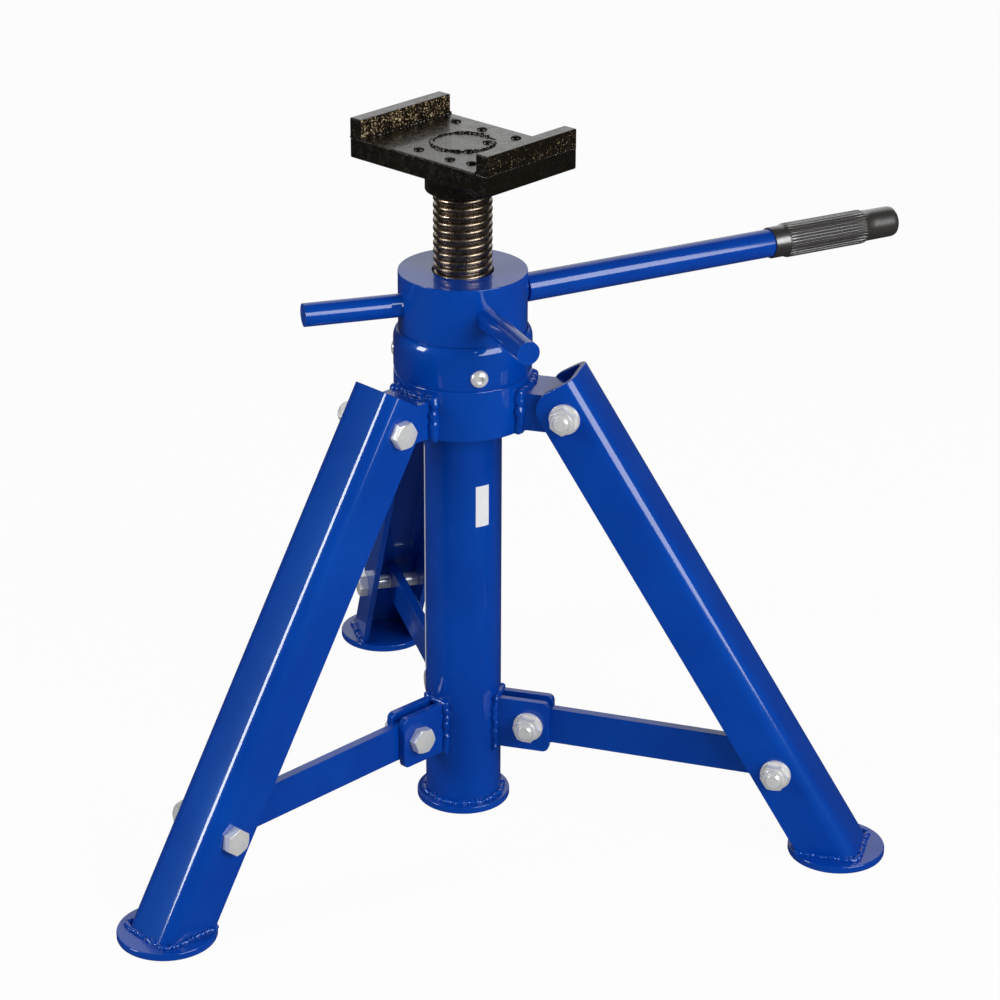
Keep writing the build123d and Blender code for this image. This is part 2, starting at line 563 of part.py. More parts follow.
with BuildPart() as handle_tube:
    with BuildSketch(handle_plane(HANDLE_START_RADIUS)):
        Circle(HANDLE_TUBE_DIAMETER / 2)
        Circle(STUB_DIAMETER / 2 + HANDLE_TUBE_CLEARANCE, mode=Mode.SUBTRACT)
    extrude(amount=HANDLE_END_RADIUS - HANDLE_START_RADIUS)
save(handle_tube.part, "handle_tube")

with BuildPart() as handle_grip:
    stretches = (
        (GRIP_START_RADIUS, GRIP_NECK_LENGTH, GRIP_NECK_DIAMETER),
        (GRIP_START_RADIUS + GRIP_NECK_LENGTH, GRIP_RIB_LENGTH, GRIP_RIB_DIAMETER),
        (GRIP_END_RADIUS - GRIP_CAP_LENGTH, GRIP_CAP_LENGTH, GRIP_CAP_DIAMETER),
    )
    for start, length, diameter in stretches:
        with BuildSketch(handle_plane(start)):
            Circle(diameter / 2)
        extrude(amount=length)
    grip_end = handle_grip.faces().sort_by(HANDLE_AXIS)[-1]
    fillet(grip_end.edges(), GRIP_END_FILLET)
    with BuildSketch(handle_plane(GRIP_START_RADIUS + GRIP_NECK_LENGTH)):
        with PolarLocations(GRIP_RIB_DIAMETER / 2, GRIP_RIB_COUNT):
            Rectangle(2 * GRIP_GROOVE_DEPTH, GRIP_GROOVE_WIDTH)
    extrude(amount=GRIP_RIB_LENGTH, mode=Mode.SUBTRACT)
    with BuildSketch(handle_plane(GRIP_START_RADIUS)):
        Circle(HANDLE_TUBE_DIAMETER / 2)
    extrude(amount=HANDLE_END_RADIUS - GRIP_START_RADIUS, mode=Mode.SUBTRACT)
save(handle_grip.part, "handle_grip")

# Lift screw, with the saddle at its head and the stop plate at its foot
SADDLE_TURN = (0, 0, SADDLE_AZIMUTH)

with BuildPart() as lift_screw:
    with BuildSketch(Plane.XY.offset(SCREW_BOTTOM)):
        Circle(SCREW_RADIUS)
    extrude(amount=SCREW_LENGTH)
    with BuildSketch(Plane.XY.offset(SCREW_BOTTOM)):
        Circle(BOLT_DIAMETER / 2 + NUT_BORE_CLEARANCE)
    extrude(amount=STOP_BOLT_DEPTH, mode=Mode.SUBTRACT)
save(lift_screw.part, "lift_screw")

with BuildPart() as saddle_collar:
    with BuildSketch(Plane.XY.offset(SADDLE_UNDERSIDE)):
        Circle(SADDLE_COLLAR_DIAMETER / 2)
        Circle(SCREW_RADIUS + SADDLE_BORE_CLEARANCE, mode=Mode.SUBTRACT)
    extrude(amount=-SADDLE_COLLAR_HEIGHT)
    chamfer(saddle_collar.edges().group_by(Axis.Z)[0].sort_by(SortBy.RADIUS)[-1], EDGE_BREAK)
save(saddle_collar.part, "saddle_collar")

with BuildPart() as saddle_plate:
    with BuildSketch(Plane.XY.offset(SADDLE_UNDERSIDE).rotated(SADDLE_TURN)):
        Rectangle(SADDLE_LENGTH, SADDLE_WIDTH)
        Circle(SCREW_RADIUS + SADDLE_BORE_CLEARANCE, mode=Mode.SUBTRACT)
    extrude(amount=SADDLE_THICKNESS)
    bar_seat_width = SADDLE_BAR_THICKNESS + SADDLE_BAR_SEAT_CLEARANCE
    with BuildSketch(Plane.XY.offset(SADDLE_TOP).rotated(SADDLE_TURN)):
        with GridLocations(SADDLE_LENGTH - bar_seat_width, 0, 2, 1):
            Rectangle(bar_seat_width, SADDLE_WIDTH)
    extrude(amount=-SADDLE_BAR_SEAT_DEPTH, mode=Mode.SUBTRACT)
save(saddle_plate.part, "saddle_plate")

for name, end in (("saddle_bar_left", -1), ("saddle_bar_right", 1)):
    with BuildPart() as saddle_bar:
        seat = Plane.XY.offset(SADDLE_TOP - SADDLE_BAR_SEAT_DEPTH)
        with BuildSketch(seat.rotated(SADDLE_TURN)):
            with Locations((end * (SADDLE_LENGTH - SADDLE_BAR_THICKNESS) / 2, 0)):
                Rectangle(SADDLE_BAR_THICKNESS, SADDLE_WIDTH)
        extrude(amount=SADDLE_BAR_SEAT_DEPTH + SADDLE_BAR_HEIGHT)
        chamfer(saddle_bar.faces().sort_by(Axis.Z)[-1].edges(), EDGE_BREAK)
    save(saddle_bar.part, name)

# The stop plate runs in the column's bore, notched for the guide strip.
with BuildPart() as stop_plate:
    with BuildSketch(Plane.XY.offset(SCREW_BOTTOM).rotated((0, 0, GUIDE_STRIP_AZIMUTH))):
        Circle(COLUMN_BORE_RADIUS - STOP_PLATE_CLEARANCE)
        with Locations((SCREW_RADIUS + COLUMN_BORE_RADIUS / 2, 0)):
            Rectangle(COLUMN_BORE_RADIUS, GUIDE_STRIP_WIDTH + 2 * GUIDE_STRIP_CLEARANCE, mode=Mode.SUBTRACT)
        Circle(BOLT_HOLE_DIAMETER / 2, mode=Mode.SUBTRACT)
    extrude(amount=-STOP_PLATE_THICKNESS)
save(stop_plate.part, "stop_plate")

STOP_WASHER_TOP = SCREW_BOTTOM - STOP_PLATE_THICKNESS

with BuildPart() as stop_washer:
    with BuildSketch(Plane.XY.offset(STOP_WASHER_TOP)):
        Circle(WASHER_DIAMETER / 2)
        Circle(BOLT_HOLE_DIAMETER / 2, mode=Mode.SUBTRACT)
    extrude(amount=-WASHER_THICKNESS)
save(stop_washer.part, "stop_washer")

with BuildPart() as stop_bolt:
    with BuildSketch(Plane.XY.offset(STOP_WASHER_TOP - WASHER_THICKNESS)):
        RegularPolygon(HEX_ACROSS_FLATS / 2, 6, major_radius=False)
    extrude(amount=-BOLT_HEAD_HEIGHT)
    with BuildSketch(Plane.XY.offset(STOP_WASHER_TOP - WASHER_THICKNESS)):
        Circle(BOLT_DIAMETER / 2)
    extrude(amount=WASHER_THICKNESS + STOP_PLATE_THICKNESS + STOP_BOLT_DEPTH - EDGE_BREAK)
save(stop_bolt.part, "stop_bolt")
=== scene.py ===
# %% [markdown]
# # A tripod screw stand
#
# This lesson dresses a finished model of a workshop stand: three braced channel legs, a column
# with a big turning nut, and a thick screw that carries a saddle. The solid model comes in as a
# fixed frame. Each visible piece is then built again here with more detail, or given a finish,
# and rides on the part of the frame that carries it, so that the stand can still be worked.

# %% Load the frame
from math import atan2, cos, hypot, pi, radians, sin
from random import Random

import bmesh
import bpy
from mathutils import Matrix, Vector


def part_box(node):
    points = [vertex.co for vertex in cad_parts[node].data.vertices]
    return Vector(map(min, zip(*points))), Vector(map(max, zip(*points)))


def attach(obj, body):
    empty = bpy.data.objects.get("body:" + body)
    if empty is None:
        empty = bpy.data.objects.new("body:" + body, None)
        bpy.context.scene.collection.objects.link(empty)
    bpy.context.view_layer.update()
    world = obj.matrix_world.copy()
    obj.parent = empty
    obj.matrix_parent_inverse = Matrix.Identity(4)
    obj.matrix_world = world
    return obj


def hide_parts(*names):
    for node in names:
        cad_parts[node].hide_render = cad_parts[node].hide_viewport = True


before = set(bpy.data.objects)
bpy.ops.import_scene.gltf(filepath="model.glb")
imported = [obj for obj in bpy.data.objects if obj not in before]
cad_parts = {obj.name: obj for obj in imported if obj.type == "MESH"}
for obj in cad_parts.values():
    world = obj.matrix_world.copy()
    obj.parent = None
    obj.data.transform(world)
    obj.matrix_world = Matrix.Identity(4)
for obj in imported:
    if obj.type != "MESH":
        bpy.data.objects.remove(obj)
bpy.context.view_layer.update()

MM = 0.001

# %% [markdown]
# The photograph was taken with a long lens from a little above the stand. A camera is a place,
# three angles and a focal length, and all of them were fitted to the outlines of the stand, so
# they are written down here instead of being moved by hand until the picture looks right.

# %% The camera
CAMERA_BEARING = radians(-103.457)   # seen from the column, counted from +X
CAMERA_DISTANCE = 2.2324
CAMERA_HEIGHT = 1.2548
CAMERA_PITCH = radians(23.9413)
CAMERA_HEADING = radians(75.8037)
CAMERA_ROLL = radians(0.2395)
FOCAL_LENGTH, SENSOR_WIDTH = 112.76, 36   # millimetres

lens = bpy.data.cameras.new("camera")
lens.sensor_width = SENSOR_WIDTH
lens.lens = FOCAL_LENGTH
camera = bpy.data.objects.new("camera", lens)
bpy.context.collection.objects.link(camera)
camera.matrix_world = (
    Matrix.Translation((
        CAMERA_DISTANCE * cos(CAMERA_BEARING),
        CAMERA_DISTANCE * sin(CAMERA_BEARING),
        CAMERA_HEIGHT,
    ))
    @ Matrix.Rotation(CAMERA_HEADING - pi / 2, 4, "Z")
    @ Matrix.Rotation(pi / 2 - CAMERA_PITCH, 4, "X")
    @ Matrix.Rotation(CAMERA_ROLL, 4, "Z")
)
bpy.context.scene.camera = camera
bpy.context.scene.view_settings.view_transform = "Standard"
print("camera at", [round(c, 3) for c in camera.matrix_world.translation])

# %% [markdown]
# Every finish below is a small tree of nodes. Writing each tree out in full would hide what is
# special about it, so two helpers come first. One starts a material and hands back its shader,
# and the other adds a node, sets its values and joins its inputs in one call.

# %% Helpers for finishes
def new_finish(name, color, roughness, metallic=0.0, **more):
    """Starts a material with one shader, whose inputs are set by name, and returns both."""
    material = bpy.data.materials.new(name)
    material["slot"] = name
    material.use_nodes = True
    shader = material.node_tree.nodes["Principled BSDF"]
    shader.inputs["Base Color"].default_value = (*color, 1)
    shader.inputs["Roughness"].default_value = roughness
    shader.inputs["Metallic"].default_value = metallic
    for key, value in more.items():
        shader.inputs[key.replace("_", " ")].default_value = value
    return material, shader


def add_node(material, kind, settings=None, **inputs):
    """Adds a node. An input is a value, or a socket of another node to join to it."""
    node = material.node_tree.nodes.new(kind)
    for key, value in (settings or {}).items():
        setattr(node, key, value)
    for key, value in inputs.items():
        socket = node.inputs[key.replace("_", " ")]
        if isinstance(value, bpy.types.NodeSocket):
            material.node_tree.links.new(value, socket)
        else:
            socket.default_value = value
    return node


def noise(material, scale, detail=4.0, roughness=0.5, stretch=(1, 1, 1)):
    """A cloudy pattern fixed to the object. Scale counts its cells in one metre."""
    own = add_node(material, "ShaderNodeTexCoord").outputs["Object"]
    mapping = add_node(material, "ShaderNodeMapping", Vector=own, Scale=stretch)
    return add_node(
        material, "ShaderNodeTexNoise",
        Vector=mapping.outputs["Vector"], Scale=scale, Detail=detail, Roughness=roughness,
    ).outputs["Fac"]


def ramp(material, value, *stops):
    """Turns a pattern into colours. Each stop is a place from 0 to 1 and a colour."""
    node = add_node(material, "ShaderNodeValToRGB", Fac=value)
    band = node.color_ramp
    while len(band.elements) < len(stops):
        band.elements.new(0.5)
    for element, (place, color) in zip(band.elements, stops):
        element.position = place
        element.color = (*color, 1) if len(color) == 3 else color
    return node.outputs["Color"]


def grey(level):
    """A colour with no hue. On a roughness input only its level counts."""
    return (level, level, level)


def join(material, socket, shader, name):
    """Joins a socket to a named input of a shader."""
    material.node_tree.links.new(socket, shader.inputs[name])


def bump(material, shader, height, strength, distance):
    """Adds fine relief, with its depth in metres."""
    node = add_node(material, "ShaderNodeBump", Height=height, Strength=strength, Distance=distance)
    join(material, node.outputs["Normal"], shader, "Normal")


# %% [markdown]
# The stand is sprayed with one thick coat of glossy royal blue straight over cut and welded
# steel. A single flat colour would look like plastic. What gives the paint away is how it lies:
# a faint ripple like orange peel that breaks up each highlight, thin and thick places that shift
# the blue a little, and some dust that dulls the gloss in patches. The gloss itself is a clear
# coat over a duller base.

# %% Blue paint
BLUE = (0.0, 0.052, 0.380)
DEEP_BLUE = (0.0, 0.040, 0.330)

blue_paint, shader = new_finish(
    "blue_paint", BLUE, 0.42, Specular_IOR_Level=0.2, Specular_Tint=(0.1, 0.6, 1.0, 1),
    Coat_Weight=0.8, Coat_Roughness=0.09, Coat_IOR=1.65,
)
shade = ramp(blue_paint, noise(blue_paint, 14, 5), (0.35, DEEP_BLUE), (0.65, BLUE))
join(blue_paint, shade, shader, "Base Color")
dulling = ramp(blue_paint, noise(blue_paint, 35, 6), (0.3, grey(0.36)), (0.75, grey(0.50)))
join(blue_paint, dulling, shader, "Roughness")
bump(blue_paint, shader, noise(blue_paint, 260, 2), 0.16, 0.0001)
print("finish:", blue_paint.name)

# %% [markdown]
# Bolts, nuts, washers and the three screws of the ring are zinc plated. Zinc is bright but never
# a clean mirror: the bath leaves a fine cloudy grain, and the highlights are a little soft.

# %% Zinc plating
zinc_plated, shader = new_finish("zinc_plated", (0.91, 0.91, 0.90), 0.24, 0.45)
cloud = noise(zinc_plated, 220, 3)
join(zinc_plated, ramp(zinc_plated, cloud, (0.3, (0.87, 0.88, 0.88)), (0.7, (0.95, 0.95, 0.93))),
     shader, "Base Color")
join(zinc_plated, ramp(zinc_plated, cloud, (0.3, grey(0.18)), (0.7, grey(0.27))),
     shader, "Roughness")
bump(zinc_plated, shader, noise(zinc_plated, 260, 2), 0.08, 0.0001)
print("finish:", zinc_plated.name)

# %% [markdown]
# The saddle is flame-cut steel under a thick, wet-looking black paint. Two sizes of noise make
# its skin: coarse lumps from the cutting, and grit that caught in the paint. Where the grit shows
# through it is a dull brown, with bright gold specks in the colour that are painted glints, most
# of all on the bars' inner faces.

# %% Black saddle paint
saddle_paint, shader = new_finish(
    "saddle_paint", (0.008, 0.008, 0.009), 0.3, Specular_IOR_Level=0.4,
    Specular_Tint=(1.0, 0.90, 0.78, 1), Coat_Weight=0.5, Coat_Roughness=0.10,
)
fine = noise(saddle_paint, 650, 4, 0.65)
coarse = noise(saddle_paint, 150, 4, 0.6)
# A face attribute sets where the grit and the painted glints show.
grit_and_glint_mask = add_node(saddle_paint, "ShaderNodeAttribute", {"attribute_name": "grit_and_glints"}).outputs["Fac"]


def sum_of(material, first, second, operation="ADD"):
    """Adds two values or sockets, or joins them by another operation."""
    node = add_node(material, "ShaderNodeMath", {"operation": operation})
    for socket, value in zip(node.inputs, (first, second)):
        if isinstance(value, bpy.types.NodeSocket):
            material.node_tree.links.new(value, socket)
        else:
            socket.default_value = value
    return node.outputs["Value"]


patchy = sum_of(saddle_paint, coarse, 0.32, "MULTIPLY")
grit_and_painted_glints = sum_of(saddle_paint, fine, sum_of(saddle_paint, grit_and_glint_mask, patchy, "MULTIPLY"))
# The dark and brown stops are grit; the bright gold stop paints glints into the colour.
join(saddle_paint,
     ramp(saddle_paint, grit_and_painted_glints, (0.0, (0.003, 0.0026, 0.002)), (0.66, (0.006, 0.0045, 0.003)),
          (0.73, (0.07, 0.044, 0.020)), (0.80, (0.60, 0.47, 0.29))),
     shader, "Base Color")
join(saddle_paint, ramp(saddle_paint, coarse, (0.40, grey(0.06)), (0.60, grey(0.30))),
     shader, "Roughness")
relief = sum_of(saddle_paint, sum_of(saddle_paint, fine, 0.45, "MULTIPLY"), coarse)
bump(saddle_paint, shader, relief, 0.65, 0.0009)
print("finish:", saddle_paint.name)

# %% [markdown]
# The screw is bare steel under old oil: dark in the grooves, brown where the oil has dried, and
# bright on the crests. The stop under it and the hidden bearing use a cleaner version.

# %% Oiled and ground steel
oiled_steel, shader = new_finish("oiled_steel", (0.08, 0.065, 0.05), 0.3, 1.0)
stain = noise(oiled_steel, 90, 5, 0.65)
join(oiled_steel,
     ramp(oiled_steel, stain, (0.30, (0.16, 0.13, 0.10)), (0.55, (0.34, 0.27, 0.20)),
          (0.75, (0.55, 0.46, 0.36))),
     shader, "Base Color")
smear = noise(oiled_steel, 260, 4)
join(oiled_steel, ramp(oiled_steel, smear, (0.3, grey(0.20)), (0.7, grey(0.40))),
     shader, "Roughness")
bump(oiled_steel, shader, noise(oiled_steel, 500, 3), 0.5, 0.0003)

ground_steel, shader = new_finish("ground_steel", (0.50, 0.50, 0.51), 0.25, 1.0)
lines = noise(ground_steel, 300, 3, 0.5, (1, 1, 12))
join(ground_steel, ramp(ground_steel, lines, (0.3, grey(0.18)), (0.7, grey(0.34))),
     shader, "Roughness")
print("finishes:", oiled_steel.name, ground_steel.name)

# %% [markdown]
# The grip is a moulded sleeve of dark rubber. Rubber scatters light from a fine, even grain, so
# it gets a shallow bump. Hands have polished this one, which a soft coat on top stands for.

# %% Grip rubber and sticker
grip_rubber, shader = new_finish(
    "grip_rubber", (0.030, 0.027, 0.025), 0.4, Specular_IOR_Level=1.0,
    Coat_Weight=1.0, Coat_Roughness=0.25, Coat_IOR=1.75,
)
wear = noise(grip_rubber, 90, 4)
join(grip_rubber, ramp(grip_rubber, wear, (0.3, grey(0.30)), (0.7, grey(0.42))),
     shader, "Roughness")
bump(grip_rubber, shader, noise(grip_rubber, 1500, 2), 0.4, 0.0001)

sticker_film, shader = new_finish("sticker_film", (0.80, 0.81, 0.83), 0.35)
film_tint = ramp(sticker_film, noise(sticker_film, 60, 3),
                 (0.3, (0.77, 0.78, 0.80)), (0.7, (0.84, 0.85, 0.87)))
join(sticker_film, film_tint, shader, "Base Color")
print("finishes:", grip_rubber.name, sticker_film.name)

# %% [markdown]
# Everything on the stand is arranged round one upright axis, so each place is easiest to give as
# a bearing, a distance from the axis and a height. Shapes are drawn in millimetres, as on a
# workshop drawing, and turned into metres when they become objects. A small bevel on every sharp
# edge is what lets painted steel catch the light, so it is part of the helper.

# %% Helpers for shapes
SAME_SPOT = 0.0005    # corners nearer than this, in millimetres, are one corner
FOLD_ANGLE = 35       # faces that meet at more degrees than this make an edge
TOUCH = 0.01          # slack, in millimetres, for corners that should line up


def place(bearing, r=0.0, z=0.0):
    """A frame at this place: x points away from the axis, y anticlockwise, z up."""
    return Matrix.Rotation(radians(bearing), 4, "Z") @ Matrix.Translation((r, 0, z))


def turned(outline, where=Matrix(), steps=128):
    """Spins an outline of (radius, height) once about z. One that starts on the axis stays open."""
    shape = bmesh.new()
    corners = [shape.verts.new((r, 0, z)) for r, z in outline]
    ends = corners[1:] if outline[0][0] == 0 else corners[1:] + corners[:1]
    for a, b in zip(corners, ends):
        shape.edges.new((a, b))
    bmesh.ops.spin(
        shape, geom=shape.verts[:] + shape.edges[:], cent=(0, 0, 0), axis=(0, 0, 1),
        angle=2 * pi, steps=steps, use_merge=True,
    )
    bmesh.ops.remove_doubles(shape, verts=shape.verts, dist=SAME_SPOT)
    bmesh.ops.recalc_face_normals(shape, faces=shape.faces)
    shape.transform(where)
    return shape


def cylinder(inner, outer, low, high, where=Matrix(), steps=128):
    """A round piece between two heights. It has no hole where the inner radius is 0."""
    return turned([(inner, low), (outer, low), (outer, high), (inner, high)], where, steps)


def block(size, where=Matrix()):
    """A box of this size with its middle at this place."""
    shape = bmesh.new()
    bmesh.ops.create_cube(shape, size=1, matrix=where @ Matrix.Diagonal((*size, 1)))
    return shape


def carve(shape, tool, operation="DIFFERENCE"):
    """Cuts one shape with another and returns what is left."""
    pair = []
    for part in (shape, tool):
        mesh = bpy.data.meshes.new("carved")
        part.to_mesh(mesh)
        part.free()
        pair.append(bpy.data.objects.new("carved", mesh))
        bpy.context.collection.objects.link(pair[-1])
    cut = pair[0].modifiers.new("cut", "BOOLEAN")
    cut.object, cut.operation, cut.solver = pair[1], operation, "EXACT"
    result = bmesh.new()
    result.from_object(pair[0], bpy.context.evaluated_depsgraph_get())
    for thing in pair:
        bpy.data.objects.remove(thing)
    return result


def gather(shapes):
    """Puts several shapes into one."""
    whole = bmesh.new()
    for shape in shapes:
        mesh = bpy.data.meshes.new("gathered")
        shape.to_mesh(mesh)
        shape.free()
        whole.from_mesh(mesh)
        bpy.data.meshes.remove(mesh)
    return whole


def mark_grit_and_glints(piece, level_of):
    """Writes on each face, from its normal, how much grit and painted glint shows there."""
    faces = piece.data.polygons
    levels = piece.data.attributes.new("grit_and_glints", "FLOAT", "FACE").data
    for face, level in zip(faces, levels):
        level.value = level_of(face.normal)


def make_piece(name, shape, finish, body, nodes=(), edge=0.5, sharp=FOLD_ANGLE):
    """Turns a shape in millimetres into an object that moves with a body of the frame."""
    shape.transform(Matrix.Scale(MM, 4))
    mesh = bpy.data.meshes.new(name)
    shape.to_mesh(mesh)
    shape.free()
    mesh.materials.append(finish)
    mesh.shade_smooth()
    mesh.set_sharp_from_angle(angle=radians(sharp))
    piece = bpy.data.objects.new(name, mesh)
    bpy.context.collection.objects.link(piece)
    if edge:
        soften = piece.modifiers.new("soft edges", "BEVEL")
        soften.width = edge * MM
        soften.segments = 2
        soften.limit_method = "ANGLE"
        soften.angle_limit = radians(FOLD_ANGLE)
        soften.harden_normals = True
    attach(piece, body)
    if nodes:
        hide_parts(*nodes)
    print(name, "faces:", len(mesh.polygons))
    return piece


# %% [markdown]
# The column is a plain tube on a round plate. At its head sits a turned collar, which is the cup
# for the bearing, and on that the retaining ring with its rounded shoulder. All of these are
# lathe work, so each is drawn as half a section and spun round the axis.

# %% Column, base plate and collar
column_low, column_high = (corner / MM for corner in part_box("column_tube"))
COLUMN_R = column_high.x
COLUMN_WALL = 5.0
plate_low, plate_high = (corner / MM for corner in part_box("base_plate"))
collar_low, collar_high = (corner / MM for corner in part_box("bearing_collar"))
ring_low, ring_high = (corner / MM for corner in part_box("retaining_ring"))
COLLAR_R = ring_high.x

column = cylinder(COLUMN_R - COLUMN_WALL, COLUMN_R, column_low.z, column_high.z)
make_piece("column", column, blue_paint, "stand", ["column_tube"])

base = cylinder(0, plate_high.x, plate_low.z, plate_high.z)
make_piece("base", base, blue_paint, "stand", ["base_plate"], edge=1.0)

SEAT_DEPTH = 14.0
SEAT_R = 42.6
STEP_HEIGHT = 6.0
STEP_R = 26.0
collar = turned([
    (COLUMN_R, collar_low.z), (COLLAR_R, collar_low.z), (COLLAR_R, collar_high.z),
    (SEAT_R, collar_high.z), (SEAT_R, collar_high.z - SEAT_DEPTH),
    (STEP_R, collar_high.z - SEAT_DEPTH), (STEP_R, collar_high.z - SEAT_DEPTH - STEP_HEIGHT),
    (COLUMN_R, collar_high.z - SEAT_DEPTH - STEP_HEIGHT),
])
make_piece("collar", collar, blue_paint, "stand", ["bearing_collar"], edge=1.0)

# %% [markdown]
# The ring's section has a small taper at its foot and an arc at its shoulder. Three shallow
# round seats are then milled into its side for the screw heads. A boolean cut is the closest
# thing to a milling cutter, and it needs only a short cylinder at each seat.

# %% Retaining ring
nut_low, nut_high = (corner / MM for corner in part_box("lift_nut"))
NUT_R = nut_high.x
RING_GAP = 0.5
RING_LIP = 0.4
TAPER_DEPTH, TAPER_HEIGHT = 1.2, 4.0
SHOULDER_HEIGHT = 8.0
SHOULDER_RUN = COLLAR_R - NUT_R - RING_GAP - RING_LIP
SHOULDER_R = (SHOULDER_RUN ** 2 + SHOULDER_HEIGHT ** 2) / (2 * SHOULDER_RUN)
RING_SCREW_BEARINGS = (-90, 30, 150)
RING_SCREW_HEIGHT = 385.5
SEAT_FLOOR_R = COLLAR_R - 0.6   # where the bottom of a screw's seat lies
HEAD_R = 6.75
HEAD_PLAY = 0.4
CUTTER_LENGTH = 9.0


def at_seat(bearing):
    """A frame on the bottom of a screw's seat, with z out of the ring."""
    return place(bearing, SEAT_FLOOR_R, RING_SCREW_HEIGHT) @ Matrix.Rotation(pi / 2, 4, "Y")


shoulder_turn = atan2(SHOULDER_HEIGHT, SHOULDER_R - SHOULDER_RUN)
shoulder = [
    (
        COLLAR_R - SHOULDER_R + SHOULDER_R * cos(shoulder_turn * step / 8),
        ring_high.z - SHOULDER_HEIGHT + SHOULDER_R * sin(shoulder_turn * step / 8),
    )
    for step in range(9)
]
ring = turned([
    (NUT_R + RING_GAP, ring_low.z), (COLLAR_R - TAPER_DEPTH, ring_low.z),
    (COLLAR_R, ring_low.z + TAPER_HEIGHT), *shoulder, (NUT_R + RING_GAP, ring_high.z),
])
for bearing in RING_SCREW_BEARINGS:
    cutter = cylinder(0, HEAD_R + HEAD_PLAY, 0, CUTTER_LENGTH, at_seat(bearing), 48)
    ring = carve(ring, cutter)
make_piece("ring", ring, blue_paint, "stand", ["retaining_ring"], edge=0.35)

# %% [markdown]
# Each ring screw has a low domed head with a hexagon socket. The dome is an arc, spun, and the
# socket is a six-sided bar cut out of it.

# %% Ring screws
HEAD_HEIGHT, HEAD_RIM = 4.4, 1.0
SOCKET_R, SOCKET_DEPTH = 3.3, 2.5
SHANK_R, SHANK_LENGTH = 4.0, 6.5


def dome_head(where):
    """A domed screw head with a six-sided socket."""
    dome = [(HEAD_R * cos(a), HEAD_RIM + (HEAD_HEIGHT - HEAD_RIM) * sin(a))
            for a in (radians(90 * step / 8) for step in range(1, 8))]
    head = turned([(0, 0), (HEAD_R, 0), (HEAD_R, HEAD_RIM), *dome, (0, HEAD_HEIGHT)], steps=48)
    socket = bmesh.new()
    bmesh.ops.create_cone(
        socket, cap_ends=True, segments=6, radius1=SOCKET_R, radius2=SOCKET_R,
        depth=2 * SOCKET_DEPTH, matrix=Matrix.Translation((0, 0, HEAD_HEIGHT)),
    )
    head = carve(head, socket)
    head.transform(where)
    return head


heads = gather([dome_head(at_seat(bearing)) for bearing in RING_SCREW_BEARINGS])
shanks = gather([cylinder(0, SHANK_R, -SHANK_LENGTH, 0.2, at_seat(bearing), 32)
                 for bearing in RING_SCREW_BEARINGS])
make_piece("ring_screw_heads", gather([heads, shanks]), zinc_plated, "stand", ["ring_screws"],
           edge=0.2)

# %% [markdown]
# The lift nut is the heart of the stand: a heavy hub that is turned by hand. Its three bars are
# plain rods set in blind holes, each with two flats beside the hub for a spanner. The rods are
# turned as well, lying on their side, and the flats are made by pushing the rod's skin in
# between two rings of edges.

# %% Lift nut and its bars
BORE_R = 22.9
PILOT_R = 29.95
RIM_Z = 378.0
BORE_BEVEL = 0.9
nut = turned([
    (BORE_R, nut_low.z), (PILOT_R, nut_low.z), (PILOT_R, RIM_Z), (NUT_R, RIM_Z),
    (NUT_R, nut_high.z), (BORE_R + BORE_BEVEL, nut_high.z), (BORE_R, nut_high.z - BORE_BEVEL),
])
make_piece("nut", nut, blue_paint, "nut_hub", ["lift_nut"], edge=0.9)

STUB_BEARINGS = {"handle_stub": 14.2, "left_stub": 183.0, "front_stub": 279.0}
STUB_HEIGHT = 430.5
STUB_R = 9.0
STUB_START, STUB_TIP = 31.35, 124.5
FLAT_START, FLAT_END = 50.15, 58.15
FLAT_HALF = 8.0
FLAT_STEP = 0.1        # the short slope at each end of a flat


def arm(bearing):
    """A frame whose z points out along an arm and whose y points sideways."""
    return place(bearing, 0, STUB_HEIGHT) @ Matrix.Rotation(pi / 2, 4, "Y")


for name, bearing in STUB_BEARINGS.items():
    stub = turned([
        (0, STUB_START), (STUB_R, STUB_START), (STUB_R, FLAT_START),
        (STUB_R, FLAT_START + FLAT_STEP), (STUB_R, FLAT_END - FLAT_STEP), (STUB_R, FLAT_END),
        (STUB_R, STUB_TIP), (0, STUB_TIP),
    ], steps=64)
    for vert in stub.verts:
        if FLAT_START < vert.co.z - FLAT_STEP / 2 and vert.co.z + FLAT_STEP / 2 < FLAT_END:
            vert.co.y = max(-FLAT_HALF, min(FLAT_HALF, vert.co.y))
    stub.transform(arm(bearing))
    make_piece(name.replace("stub", "bar"), stub, blue_paint, "nut_hub", [name], edge=1.0)

# %% [markdown]
# The handle is a tube slipped over one of the bars. Its grip is one moulding: a smooth neck, a
# long ribbed part and a smooth cap with a rounded end. It is made as one circle that is extruded
# again and again, and at each ring the skin between the ribs is pulled in. Ribs that fade at
# both ends look moulded, while ribs that stop dead look cut. The first rings are the inside of
# the sleeve, which ends where the tube does.

# %% Handle and grip
HANDLE_BEARING = STUB_BEARINGS["handle_stub"]
TUBE_R = 11.15
TUBE_BORE_R = 9.08
TUBE_START, TUBE_END = 53.0, 389.5
tube = cylinder(TUBE_BORE_R, TUBE_R, TUBE_START, TUBE_END, arm(HANDLE_BEARING), 96)
make_piece("tube", tube, blue_paint, "handle", ["handle_tube"], edge=0.5)

RIBS = 32
RIB_SHAPE = (0, 0, 0.1, 0.75, 1, 0.75, 0.1, 0)   # how deep the skin lies from one rib to the next
GRIP_START = 275.0
